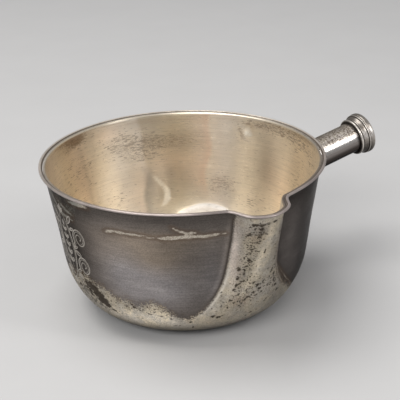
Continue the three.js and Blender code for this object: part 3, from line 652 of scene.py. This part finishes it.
def make_inside():
    g = Shader("tarnished_silver_inside")
    fine = g.noise(g.scaled((.9, .9, 1.3)), 1.0, 6, .62)
    coarse = g.noise(g.scaled((.09, .09, .06), (3, 1, 7)), 1.0, 4, .6)
    brushed = g.noise(g.scaled((.06, .06, 2.2)), 1.0, 4, .72)
    brushed2 = g.noise(g.scaled((.16, .16, 6.0), (5, 5, 5)), 1.0, 2, .6)
    tone_and_sheen, gold, pink, density = g.attribute("tone_and_sheen"), g.attribute("warm"), g.attribute("pink"), g.attribute("speck")
    colour = g.mix(gold, (.775, .725, .650), (.765, .655, .465))
    colour = g.mix(g.mul(pink, .8), colour, (.81, .605, .460))
    # brightness with painted reflection bands of light and shade
    colour = g.times(colour, g.mul(tone_and_sheen, g.add(.86, g.mul(coarse, .28))))
    colour = g.times(colour, g.add(.72, g.mul(brushed, .56)))
    dash = g.noise(g.scaled((.34, .34, 1.9), (1, 2, 3)), 1.0, 2, .50, .55)
    dash_mask = g.step(g.add(dash, g.mul(density, .135)), .635, .690)
    dot = g.noise(g.scaled((.85, .85, 2.3), (3, 8, 3)), 1.0, 2, .5, .3)
    dash_mask = g.math("MAXIMUM", dash_mask, g.mul(g.step(g.add(dot, g.mul(density, .070)), .690, .735), g.step(density, .3, .9, 0, .8)), True)
    ring = g.cells(g.scaled((.46, .46, .80)), 1.0)
    ring_mask = g.mul(g.mul(g.step(ring, .40, .46), g.step(ring, .58, .52)), g.mul(g.step(density, .35, .8), g.step(fine, .42, .50)))
    pits = g.math("MAXIMUM", dash_mask, g.mul(ring_mask, .9), True)
    # the dark spots include the painted shade crescent beside the knock
    pits = g.math("MAXIMUM", pits, g.step(g.add(g.attribute("sd_spot"), g.mul(g.sub(dot, .5), 3.4)), -.10, .40), True)
    haze = g.mul(g.step(density, .25, 1.0), g.step(g.noise(g.scaled((.14, .14, .30), (6, 4, 9)), 1.0, 5, .62), .36, .62))
    colour = g.mix(g.mul(haze, .20), colour, (.36, .275, .190))
    colour = g.mix(g.mul(pits, g.step(density, -.05, .55, .32, .57)), colour, (.165, .102, .058))
    lines = g.mul(g.step(brushed, .44, .62), g.step(g.add(g.attribute("below_rim"), g.mul(g.sub(coarse, .5), 9.0)), 7.5, 1.5))
    colour = g.mix(g.mul(g.mul(lines, g.attribute("far_edge")), .42), colour, (.33, .225, .145))
    edge = g.mul(g.step(g.add(g.attribute("edge_dirt"), g.mul(g.sub(fine, .5), 1.2)), .25, .95), g.step(g.attribute("below_rim"), .7, 1.3))
    colour = g.mix(g.mul(edge, .70), colour, (.22, .145, .08))
    shade = g.step(g.attribute("sd_shade"), -3.0, 3.2)
    colour = g.mix(g.mul(shade, .50), colour, (.33, .30, .275))
    # painted highlights of the long dent and of the knock beside the socket
    stroke = g.step(g.add(g.attribute("sd_highlight"), g.mul(g.sub(fine, .5), 1.6)), -.7, 1.5)
    colour = g.mix(g.mul(stroke, .80), colour, (.97, .92, .82))
    # where the wall turns in low at the back: a painted grade for the highlight it reflects, paler near its upper edge
    # and darker below
    turned_in = g.step(g.attribute("turn_line"), -.25, .5)
    colour = g.mix(g.mul(turned_in, .8), colour, g.mix(g.step(g.add(g.attribute("turn_line"), g.mul(g.sub(fine, .5), 3.0)), 1.0, 3.0), (.455, .440, .425), (.30, .275, .25)))
    bottom = g.attribute("floor_in")
    colour = g.times(colour, g.lerp(bottom, 1.0, .50))
    stained = g.mul(bottom, g.step(g.noise(g.scaled((.16, .16, .16), (1, 9, 3)), 1.0, 6, .66), .48, .60))
    colour = g.mix(g.mul(stained, .45), colour, (.235, .185, .125))
    # painted light on the wall's top edge: pale cream on the far side of the bowl, dark on the near side
    bright_edge = g.step(g.attribute("below_rim"), 1.0, .55)
    colour = g.mix(g.mul(bright_edge, .9), colour, g.mix(g.attribute("far_edge"), (.26, .21, .17), (.84, .755, .62)))
    rough = g.add(g.lerp(turned_in, .31, .43), g.mul(g.sub(brushed2, .5), .20))
    rough = g.add(g.add(rough, g.mul(pits, .2)), g.mul(bottom, .22))
    relief = g.add(g.add(g.mul(brushed, .6), g.mul(brushed2, .25)), g.mul(fine, .15))
    relief = g.sub(relief, g.mul(pits, 1.0))
    g.brushed_round(.6)
    return g.finish(colour, rough, .80, g.bump(relief, .16, .06))


bowl.data.materials.append(make_outside())
bowl.data.materials.append(make_inside())
face_side = np.zeros(len(bowl.data.polygons), np.int32)
loops = np.zeros(len(bowl.data.polygons), np.int32)
bowl.data.polygons.foreach_get("loop_start", loops)
corner = np.zeros(len(bowl.data.loops), np.int32)
bowl.data.loops.foreach_get("vertex_index", corner)
first = corner[loops]
third = corner[np.minimum(loops + 2, len(corner) - 1)]
face_side[:] = (inside[first] & inside[third]).astype(np.int32)
bowl.data.polygons.foreach_set("material_index", face_side)
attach(bowl, "root")
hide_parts("bowl_body")

# ---------------------------------------------------------------- rim wire, an oval wire with a shallow groove where it meets the wall
RIM_COLS = 560
rim_a = np.concatenate([np.linspace(-30, 30, 161)[:-1], np.linspace(30, 330, RIM_COLS - 160 + 1)[:-1]])
edge_line = shell(rim_a, np.ones(len(rim_a)))
ahead, behind = shell(rim_a + .05, np.ones(len(rim_a))), shell(rim_a - .05, np.ones(len(rim_a)))
tangent = ahead - behind
out_dir = np.stack([tangent[:, 1], -tangent[:, 0], np.zeros(len(rim_a))], -1)
out_dir /= np.linalg.norm(out_dir, axis=1, keepdims=True)
WIRE = [(.03, -.62), (.45, -.76), (.90, -.80), (1.35, -.75), (1.68, -.56), (1.86, -.30), (1.88, -.06), (1.76, .16), (1.54, .30), (1.28, .355),
        (1.02, .33), (.80, .23), (.62, .08), (.50, -.10), (.40, -.24), (.26, -.30), (.12, -.27), (.03, -.22)]
rim_rows, groove, under_rim = [], [], []
t = np.radians(rim_a)
wear = 1 + .030 * np.sin(17 * t + 1) + .022 * np.sin(41 * t + 2.2) + .02 * np.sin(29 * t)
for o, h in WIRE:
    oo = np.full(len(rim_a), o)
    if o > .5:
        oo = 1.0 + (oo - 1.0) * np.minimum(wear, 1.0)
    hh = h * np.where(h > 0, np.minimum(wear, 1.0), 1.0)
    p = edge_line + out_dir * oo[:, None]
    p[:, 2] += hh
    rim_rows.append(p)
    groove.append(np.full(len(rim_a), max(0.0, 1 - abs(o - .40) / .55) if h > -.35 else 0.0))
    under_rim.append(np.full(len(rim_a), 1.0 if h < -.4 else 0.0))
rim_faces = [tuple(reversed(f)) for f in grid_faces(len(WIRE), len(rim_a), close_rows=True)]
rim = new_object("rim_wire_fine", np.concatenate(rim_rows), rim_faces)
set_attribute(rim, "groove", np.concatenate(groove))
set_attribute(rim, "under", np.concatenate(under_rim))
set_attribute(rim, "far_edge", np.concatenate([np.clip(.5 - .75 * np.cos(np.radians(rim_a + 14)), 0, 1)] * len(WIRE)))


def make_rim():
    g = Shader("worn_silver_wire")
    fine = g.noise(g.scaled((1.1, 1.1, 1.1)), 1.0, 6, .6)
    coarse = g.noise(g.scaled((.08, .08, .08), (4, 4, 0)), 1.0, 4, .6)
    along = g.noise(g.scaled((.35, .35, 2.0)), 1.0, 5, .65)
    # painted light: the wire is paler on the far side of the bowl and darker mauve on the near side
    colour = g.mix(g.attribute("far_edge"), (.345, .297, .280), (.60, .545, .475))
    colour = g.times(colour, g.add(.80, g.mul(g.step(coarse, .36, .64), .30)))
    colour = g.times(colour, g.add(.82, g.mul(along, .36)))
    dirt = g.step(g.add(g.attribute("groove"), g.mul(g.sub(fine, .5), .5)), .25, .60)
    colour = g.mix(g.mul(dirt, .9), colour, (.085, .066, .048))
    # painted shade on the wire's underside
    below = g.step(g.add(g.attribute("under"), g.mul(g.sub(fine, .5), .4)), .3, .9)
    colour = g.mix(g.mul(below, .85), colour, (.060, .050, .042))
    nick = g.mul(g.step(g.noise(g.scaled((.9, .9, .9), (7, 7, 7)), 1.0, 4, .7), .60, .70), .6)
    colour = g.mix(nick, colour, (.22, .18, .14))
    rough = g.add(g.add(.26, g.mul(g.sub(fine, .5), .25)), g.mul(dirt, .3))
    relief = g.sub(g.add(g.mul(fine, .5), g.mul(along, .4)), g.mul(nick, .8))
    g.dull_edges(.8)
    return g.finish(colour, g.add(rough, .06), .55, g.bump(relief, .12, .05))


rim.data.materials.append(make_rim())
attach(rim, "root")
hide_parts("rim_wire")

# ---------------------------------------------------------------- socket: a flared tube, soldered to the wall, and its collar
TILT_C, TILT_S = .982287, .187381
AXIS = np.array([TILT_C, 0, TILT_S])
SIDEWAYS = np.array([0, 1.0, 0])
ABOVE = np.array([-TILT_S, 0, TILT_C])
ORIGIN = np.array([0, 0, 39.2])


def on_axis(s, r, phi):
    s, r, phi = np.broadcast_arrays(s, r, phi)
    return ORIGIN + s[..., None] * AXIS + (r * np.cos(phi))[..., None] * SIDEWAYS + (r * np.sin(phi))[..., None] * ABOVE


def wall_radius(az_deg, z):
    """The bowl's outer radius at an azimuth and height, well away from the lip."""
    a = az_deg - LIP_AZIMUTH
    s = np.sqrt(np.clip(z / H, 0, 1))
    p = shell(a, s)
    return np.hypot(p[..., 0], p[..., 1]) + ripple(wrap(a), z)


def meets_wall(r, phi):
    """Where a line along the socket at radius r and angle phi leaves the bowl's wall."""
    lo, hi = np.full(phi.shape, 45.0), np.full(phi.shape, 90.0)
    for _ in range(40):
        mid = (lo + hi) / 2
        p = on_axis(mid, np.full(phi.shape, r), phi)
        out = np.hypot(p[..., 0], p[..., 1]) > wall_radius(np.degrees(np.arctan2(p[..., 1], p[..., 0])), p[..., 2])
        hi, lo = np.where(out, mid, hi), np.where(out, lo, mid)
    return (lo + hi) / 2


TUBE_COLS = 144
phi = np.linspace(0, 2 * np.pi, TUBE_COLS, endpoint=False)
s_wall, s_foot, s_bore = meets_wall(7.6, phi), meets_wall(8.75, phi), meets_wall(6.6, phi)
foot, corner_p = on_axis(s_foot - .03, np.full(TUBE_COLS, 8.75), phi), on_axis(s_wall, np.full(TUBE_COLS, 7.6), phi)
lift = on_axis(s_wall + 1.25, np.full(TUBE_COLS, 7.6), phi)
tube_rows, solder, along_s = [], [], []


def tube_row(p, w, s):
    tube_rows.append(p)
    solder.append(np.full(TUBE_COLS, float(w)))
    along_s.append(np.broadcast_to(s, (TUBE_COLS,)))


for q in (0, .2, .4, .6, .8, 1.0):
    tube_row((1 - q) ** 2 * foot + 2 * q * (1 - q) * corner_p + q * q * lift, 1 - q, s_wall)
for q in np.linspace(0, 1, 46)[1:]:
    s_row = (1 - q) * (s_wall + 1.25) + q * 99.6
    flare = .15 * np.clip((s_row - 97) / 2.4, 0, 1) ** 2
    hand = .025 * np.sin(3 * phi + .12 * s_row) + .02 * np.sin(5 * phi - .09 * s_row + 1)
    hand = hand * np.clip((99 - s_row) / 4, 0, 1)
    tube_row(on_axis(s_row, 7.6 + flare + hand - .03, phi), 0, s_row)
for s, r in ((100.6, 7.74), (104, 7.74), (106.9, 7.74), (107.25, 7.66), (107.4, 7.45), (107.4, 6.85), (107.3, 6.68), (107.0, 6.6)):
    tube_row(on_axis(np.full(TUBE_COLS, s), r, phi), 0, s)
for q in np.linspace(0, 1, 14)[1:]:
    s_row = (1 - q) * 107.0 + q * (s_bore - .02)
    tube_row(on_axis(s_row, 6.6, phi), 0, s_row)
tube_faces = [tuple(reversed(f)) for f in grid_faces(len(tube_rows), TUBE_COLS, close_rows=True)]
tube = new_object("socket_tube_fine", np.concatenate(tube_rows), tube_faces)
set_attribute(tube, "solder", np.concatenate(solder))
set_attribute(tube, "along", np.concatenate(along_s))
set_attribute(tube, "turn", np.concatenate([np.sin(phi)] * len(tube_rows)))
set_attribute(tube, "from_wall", np.clip(np.concatenate([np.broadcast_to(s, (TUBE_COLS,)) - s_wall for s in along_s]), 0, 50))
tube_inner = np.zeros((len(tube_rows), TUBE_COLS))
tube_inner[-15:] = 1
set_attribute(tube, "bore", tube_inner)


def make_tube():
    g = Shader("mottled_silver_tube")
    fine = g.noise(g.scaled((1.2, 1.2, 1.2)), 1.0, 6, .62)
    mottle = g.noise(g.scaled((.32, .55, .55), (2, 5, 3)), 1.0, 6, .66, .4)
    along = g.noise(g.scaled((.12, 1.6, 1.6), (1, 1, 1)), 1.0, 5, .65)
    turn = g.attribute("turn")
    top = g.step(turn, .05, .75)
    colour = g.mix(g.step(mottle, .40, .60), (.68, .625, .575), (.42, .372, .330))
    small = g.noise(g.scaled((1.1, 1.5, 1.5), (4, 1, 6)), 1.0, 4, .62)
    blotch = g.mul(g.step(g.add(g.mul(mottle, .5), g.mul(small, .5)), .50, .56), top)
    colour = g.mix(g.mul(blotch, .80), colour, (.80, .74, .63))
    brown = g.mul(g.step(g.noise(g.scaled((.9, 1.2, 1.2), (9, 9, 1)), 1.0, 4, .66), .485, .555), top)
    colour = g.mix(g.mul(brown, .85), colour, (.145, .105, .080))
    # painted shade along the tube's top
    colour = g.mix(g.mul(g.step(turn, .86, .99), .5), colour, (.17, .145, .115))
    colour = g.times(colour, g.add(.72, g.mul(along, .56)))
    # painted highlight stripe along the upper side, then painted shade that deepens to near black on the underside
    colour = g.mix(g.step(turn, .68, .50), colour, (.520, .497, .480))
    colour = g.mix(g.step(turn, .30, .06), colour, (.250, .225, .212))
    colour = g.mix(g.step(turn, .04, -.28), colour, (.068, .057, .052))
    colour = g.mix(g.step(turn, -.25, -.80), colour, (.022, .018, .016))
    colour = g.times(colour, g.add(.84, g.mul(along, .32)))
    # painted shade on the tube just before the collar
    near_ring = g.step(g.add(g.attribute("along"), g.mul(g.sub(fine, .5), 1.4)), 98.2, 99.6)
    colour = g.mix(g.mul(near_ring, .85), colour, (.035, .028, .024))
    near_wall = g.step(g.add(g.attribute("from_wall"), g.mul(g.sub(fine, .5), 2.0)), 2.2, .3)
    colour = g.mix(g.mul(near_wall, .7), colour, (.12, .10, .085))
    colour = g.mix(g.attribute("bore"), colour, (.05, .042, .036))
    rough = g.add(g.lerp(g.step(turn, .5, .75), .23, .38), g.mul(g.sub(fine, .5), .08))
    rough = g.add(rough, g.mul(near_wall, .2))
    relief = g.sub(g.add(g.mul(along, .5), g.mul(fine, .2)), g.mul(brown, .5))
    g.dull_edges(.30)
    return g.finish(colour, rough, .80, g.bump(relief, .12, .04))


tube.data.materials.append(make_tube())
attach(tube, "root")
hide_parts("socket_tube")


def make_ring_silver():
    g = Shader("worn_silver_collar")
    fine = g.noise(g.scaled((1.3, 1.3, 1.3)), 1.0, 6, .62)
    coarse = g.noise(g.scaled((.25, .35, .35), (5, 2, 1)), 1.0, 5, .65)
    colour = g.mix(g.step(coarse, .38, .62), (.42, .383, .345), (.30, .268, .238))
    colour = g.mix(g.mul(g.attribute("crest"), .9), colour, (.78, .73, .67))
    colour = g.times(colour, g.add(.88, g.mul(fine, .24)))
    dirt = g.step(g.add(g.attribute("groove"), g.mul(g.sub(fine, .5), .35)), .30, .72)
    colour = g.mix(g.mul(dirt, .9), colour, (.050, .040, .032))
    stain = g.step(g.noise(g.scaled((.7, .9, .9), (3, 3, 8)), 1.0, 5, .7), .54, .62)
    colour = g.mix(g.mul(g.mul(stain, .5), g.sub(1.0, g.attribute("crest"))), colour, (.17, .135, .108))
    turn = g.attribute("turn")
    # painted shade on the collar's underside, and in the next line on its top
    colour = g.times(colour, g.lerp(g.attribute("crest"), g.step(turn, -.55, .35, .22, 1.0), g.step(turn, -.9, .2, .45, 1.0)))
    colour = g.times(colour, g.step(turn, .50, .95, 1.0, .60))
    # painted highlight band on the lit side of the collar
    lit_band = g.mul(g.mul(g.step(turn, .02, .30), g.step(turn, .66, .44)), g.mul(g.sub(1.0, dirt), g.step(fine, .34, .52)))
    colour = g.mix(g.mul(lit_band, .75), colour, (.78, .745, .715))
    rough = g.add(g.add(.32, g.mul(g.sub(fine, .5), .06)), g.mul(dirt, .3))
    relief = g.sub(g.mul(fine, .5), g.mul(stain, .4))
    g.dull_edges(.45)
    return g.finish(colour, rough, .75, g.bump(relief, .04, .04))


ring_material = make_ring_silver()


def turned_ring(name, node, points, cols=168, wobble=.02):
    """A ring turned about the socket's axis from a closed outline of (s, r, dirt, crest wear)."""
    around = np.linspace(0, 2 * np.pi, cols, endpoint=False)
    rows_, dirt, crest, turn_at = [], [], [], []
    for s, r, d, w in points:
        soft = wobble * (np.sin(3 * around + .5 * s) * .5 + np.sin(7 * around + 1.3 * r) * .5)
        rr = r + np.where(r > 8.6, np.minimum(soft, 0) - .005, 0)
        rows_.append(on_axis(np.full(cols, s), rr, around))
        dirt.append(np.full(cols, float(d)))
        crest.append(np.full(cols, float(w)))
        turn_at.append(np.sin(around))
    faces = [tuple(reversed(f)) for f in grid_faces(len(points), cols, close_rows=True)]
    obj = new_object(name, np.concatenate(rows_), faces)
    set_attribute(obj, "groove", np.concatenate(dirt))
    set_attribute(obj, "crest", np.concatenate(crest))
    set_attribute(obj, "turn", np.concatenate(turn_at))
    obj.data.materials.append(ring_material)
    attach(obj, "root")
    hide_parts(node)
    return obj


def dense(points, step=.16):
    """The outline with points added so that no step is long, to keep its shading tight."""
    out = []
    for p, q in zip(points, points[1:] + points[:1]):
        n = max(1, int(math.hypot(q[0] - p[0], q[1] - p[1]) / step)) if min(p[1], q[1]) > 8.5 else 1
        out += [tuple(a + k / n * (b - a) for a, b in zip(p, q)) for k in range(n)]
    return out


turned_ring("collar_bead_fine", "collar_bead", dense([
    (100.12, 7.70, 1, 0), (100.12, 8.2, 1, 0), (100.18, 8.62, .7, 0), (100.34, 8.96, .2, .4), (100.60, 9.20, 0, 1), (100.90, 9.30, 0, 1), (101.20, 9.25, 0, .8), (101.46, 9.06, .2, .3),
    (101.64, 8.84, .7, 0), (101.80, 8.74, 1, 0), (101.92, 8.74, 1, 0), (101.92, 7.70, 1, 0)]))
turned_ring("collar_band_fine", "collar_band", dense([
    (101.94, 7.70, 1, 0), (101.94, 8.74, 1, 0), (102.05, 8.88, .5, 0), (102.30, 8.97, .1, 0), (102.80, 9.06, 0, 0), (103.30, 9.20, 0, 0), (103.80, 9.40, 0, 0), (104.10, 9.55, .2, 0),
    (104.26, 9.62, .8, 0), (104.34, 9.63, 1, 0), (104.34, 7.70, 1, 0)]))
turned_ring("mouth_ring_fine", "mouth_ring", dense([
    (104.36, 7.70, 1, 0), (104.36, 9.66, 1, 0), (104.48, 9.84, .7, 0), (104.60, 10.06, .15, .5), (104.76, 10.22, 0, 1), (104.92, 10.24, 0, 1), (105.08, 10.14, .1, .6), (105.20, 9.99, .45, 0),
    (105.30, 9.95, .55, 0), (105.42, 9.99, .45, 0), (105.54, 10.12, .2, 0), (105.72, 10.28, .05, 0), (105.95, 10.37, 0, .1), (106.5, 10.40, 0, .15), (107.1, 10.39, 0, .3), (107.45, 10.33, 0, .8),
    (107.72, 10.18, 0, 1), (107.90, 9.98, 0, .7), (107.96, 9.72, .1, .2), (107.97, 9.2, .1, 0), (107.95, 8.6, .2, 0), (107.86, 8.25, .5, 0), (107.66, 8.02, .8, 0), (107.44, 7.9, 1, 0), (107.3, 7.76, 1, 0)]))

# ---------------------------------------------------------------- a plain engraved ornament of scrolls and leaves on the side opposite the socket
SPRAY_A, SPRAY_Z = -89.1, 41.5


def ribbon_points(pts, widths):
    """A stroke as points and half widths at steps of 0.35 mm."""
    pts, widths = np.asarray(pts, float), np.asarray(widths, float)
    d = np.concatenate([[0], np.cumsum(np.hypot(*np.diff(pts, axis=0).T))])
    n = max(3, int(d[-1] / .35) + 1)
    q = np.linspace(0, d[-1], n)
    return np.stack([np.interp(q, d, pts[:, 0]), np.interp(q, d, pts[:, 1])], 1), np.interp(q, d, widths)


def arc(p0, p1, bulge, n=13):
    """A curved line from p0 to p1 that bows to its left by bulge times its length."""
    p0, p1 = np.asarray(p0, float), np.asarray(p1, float)
    d = p1 - p0
    left = np.array([-d[1], d[0]])
    t_ = np.linspace(0, 1, n)[:, None]
    return p0 + d * t_ + left * (4 * bulge * t_ * (1 - t_))


strokes = []


def leaf(root_p, angle, length, fat):
    tip = np.asarray(root_p) + length * np.array([math.cos(angle), math.sin(angle)])
    for side in (1, -1):
        line = arc(root_p, tip, side * fat)
        strokes.append((line, .12 + .20 * np.sin(np.linspace(0, np.pi, len(line)))))
    vein = arc(root_p, np.asarray(root_p) + .6 * (tip - np.asarray(root_p)), .02)
    strokes.append((vein, .06 + .10 * np.sin(np.linspace(0, np.pi, len(vein)))))


def scroll(start, centre, radius, first, turns, side):
    """A stem from start that rolls up into a spiral round centre; drawn for one side and mirrored for the other."""
    t_ = np.linspace(0, 1, 70)
    ang = math.radians(first) - t_ * 2 * math.pi * turns
    rad = radius * (1 - t_) ** .85 + .55 * t_
    spiral = np.stack([centre[0] + rad * np.cos(ang), centre[1] + rad * 1.05 * np.sin(ang)], 1)
    lead = arc(start, spiral[0], .10, 12)[:-1]
    line = np.concatenate([lead, spiral]) * np.array([side, 1])
    n = len(line)
    strokes.append((line, np.interp(np.linspace(0, 1, n), [0, .12, .45, .8, 1], [.12, .34, .30, .20, .30])))
    inner = np.concatenate([lead, spiral[:34]]) * np.array([side, 1])
    shift = np.gradient(inner, axis=0)
    shift = np.stack([shift[:, 1], -shift[:, 0]], 1) / (np.linalg.norm(shift, axis=1, keepdims=True) + 1e-9) * side
    strokes.append((inner + shift * .95, np.interp(np.linspace(0, 1, len(inner)), [0, .2, .8, 1], [.08, .16, .14, .06])))


def oval(v):
    """Half the width of the pointed oval at height v."""
    return 5.8 * np.cos(np.clip(v / 16.5, -1, 1) * math.pi / 2) ** .62


for side in (1, -1):
    v_ = np.linspace(-16.5, 16.5, 60)
    strokes.append((np.stack([side * oval(v_), v_], 1), np.interp(v_, [-16.5, -9, 0, 9, 16.5], [.12, .36, .42, .36, .12])))
    v_ = np.linspace(-13.6, 13.6, 50)
    strokes.append((np.stack([side * (oval(v_) - 1.15), v_], 1), np.interp(v_, [-13.6, 0, 13.6], [.07, .16, .07])))
    scroll((5.7, -1.2), (12.2, 6.8), 4.9, -150, 1.75, side)
    scroll((3.3, -13.2), (12.0, -7.4), 5.0, -150, 1.75, side)
    for root_, angle_, length_, fat_ in (((4.2, 12.0), 52, 6.2, .16), ((5.2, 9.4), 22, 3.8, .15), ((5.9, -.8), -14, 5.4, .15), ((5.8, .4), 26, 4.0, .14),
                                         ((3.4, -13.8), -40, 5.6, .16), ((4.6, -13.4), -8, 4.4, .14), ((0, 16.4), 48, 3.4, .16), ((0, -16.4), -48, 3.2, .16)):
        leaf((side * root_[0], root_[1]), math.radians(angle_ if side > 0 else 180 - angle_), length_, fat_)
    for k, v0 in enumerate((-8.6, -4.6, -.6, 3.4, 7.4)):
        leaf((0, v0), math.radians(90 - side * 48), 3.9 - .28 * k, .17)
strokes.append((np.array([[0, -11.6], [0, -4], [0, 4], [0, 10.2]]), np.array([.10, .24, .22, .10])))
leaf((0, 9.6), math.radians(90), 3.2, .17)
leaf((0, 16.4), math.radians(90), 4.2, .15)
leaf((0, -16.4), math.radians(-90), 3.8, .15)
spray_v, spray_f = [], []
for line, widths in strokes:
    pts, w = ribbon_points(line, widths)
    tang = np.gradient(pts, axis=0)
    tang /= np.linalg.norm(tang, axis=1, keepdims=True) + 1e-12
    perp = np.stack([-tang[:, 1], tang[:, 0]], 1)
    base_i = len(spray_v)

    def place(uv, lift_mm):
        a = SPRAY_A + uv[:, 0] / DEG
        s = np.sqrt(np.clip((SPRAY_Z + uv[:, 1]) / H, 0, 1))
        p, n = shell(a, s), shell_normal(a, s)
        return p + n * (ripple(wrap(a), p[:, 2]) + lift_mm)[:, None]

    ring_pts = [place(pts - perp * w[:, None], .000), place(pts, .045), place(pts + perp * w[:, None], .000), place(pts, -.12)]
    for i in range(len(pts)):
        for r_ in ring_pts:
            spray_v.append(r_[i])
    for i in range(len(pts) - 1):
        for k in range(4):
            a0, a1 = base_i + 4 * i + k, base_i + 4 * i + (k + 1) % 4
            spray_f.append((a0, a1, a1 + 4, a0 + 4))
    spray_f.append((base_i, base_i + 3, base_i + 2, base_i + 1))
    e = base_i + 4 * (len(pts) - 1)
    spray_f.append((e, e + 1, e + 2, e + 3))
spray = new_object("engraved_spray", np.array(spray_v), spray_f, smooth=False)


def make_engraving():
    g = Shader("bright_cut_silver")
    fine = g.noise(g.scaled((1.4, 1.4, 1.4)), 1.0, 5, .6)
    coarse = g.noise(g.scaled((.2, .2, .2), (6, 2, 2)), 1.0, 3, .6)
    colour = g.mix(g.step(coarse, .36, .62), (.46, .425, .38), (.36, .33, .285))
    colour = g.mix(g.step(fine, .58, .70), colour, (.20, .175, .145))
    return g.finish(colour, g.add(.30, g.mul(fine, .2)), .85, g.bump(fine, .15, .04))


spray.data.materials.append(make_engraving())
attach(spray, "root")

# ---------------------------------------------------------------- floor and light
FLOOR_N = 12
fx = np.linspace(-3.2, 3.2, FLOOR_N + 1)
floor_v = [(x * 1000, y * 1000, -.25) for y in fx for x in fx]
floor_f = [(j * (FLOOR_N + 1) + i, j * (FLOOR_N + 1) + i + 1, (j + 1) * (FLOOR_N + 1) + i + 1, (j + 1) * (FLOOR_N + 1) + i) for j in range(FLOOR_N) for i in range(FLOOR_N)]
floor = new_object("studio_floor", np.array(floor_v), floor_f)
g = Shader("pale_floor")
paper = g.noise(g.scaled((.02, .02, .02)), 1.0, 4, .6)
floor.data.materials.append(g.finish(g.mix(paper, (.475, .475, .48), (.505, .505, .51)), .85, 0.0, g.bump(g.noise(g.scaled((.6, .6, .6)), 1.0, 4, .6), .15, .1)))


def area_light(name, azimuth, elevation, distance, width, height, power, colour=(1, 1, 1), target=(0, 0, .04)):
    data = bpy.data.lights.new(name, "AREA")
    data.shape, data.size, data.size_y = "RECTANGLE", width, height
    data.energy, data.color = power, colour
    obj = bpy.data.objects.new(name, data)
    az, el = math.radians(azimuth), math.radians(elevation)
    direction = Vector((math.cos(az) * math.cos(el), math.sin(az) * math.cos(el), math.sin(el)))
    obj.location = Vector(target) + direction * distance
    obj.rotation_mode = "QUATERNION"
    obj.rotation_quaternion = direction.to_track_quat("Z", "Y")
    bpy.context.scene.collection.objects.link(obj)
    return obj


area_light("behind_camera_softbox", -140, 37, 1.6, 1.3, .50, 15, (1, .985, .96))
area_light("overhead_softbox", 140, 72, 1.5, 1.0, 1.0, 18, (1, .985, .96))
area_light("right_softbox", -58, 34, 1.5, .22, .8, 5.0, (1, .98, .96))
world = bpy.data.worlds.new("studio")
world.use_nodes = True
world.node_tree.nodes["Background"].inputs["Color"].default_value = (.82, .82, .83, 1)
world.node_tree.nodes["Background"].inputs["Strength"].default_value = .36
bpy.context.scene.world = world
bpy.context.scene.view_settings.view_transform = "Standard"
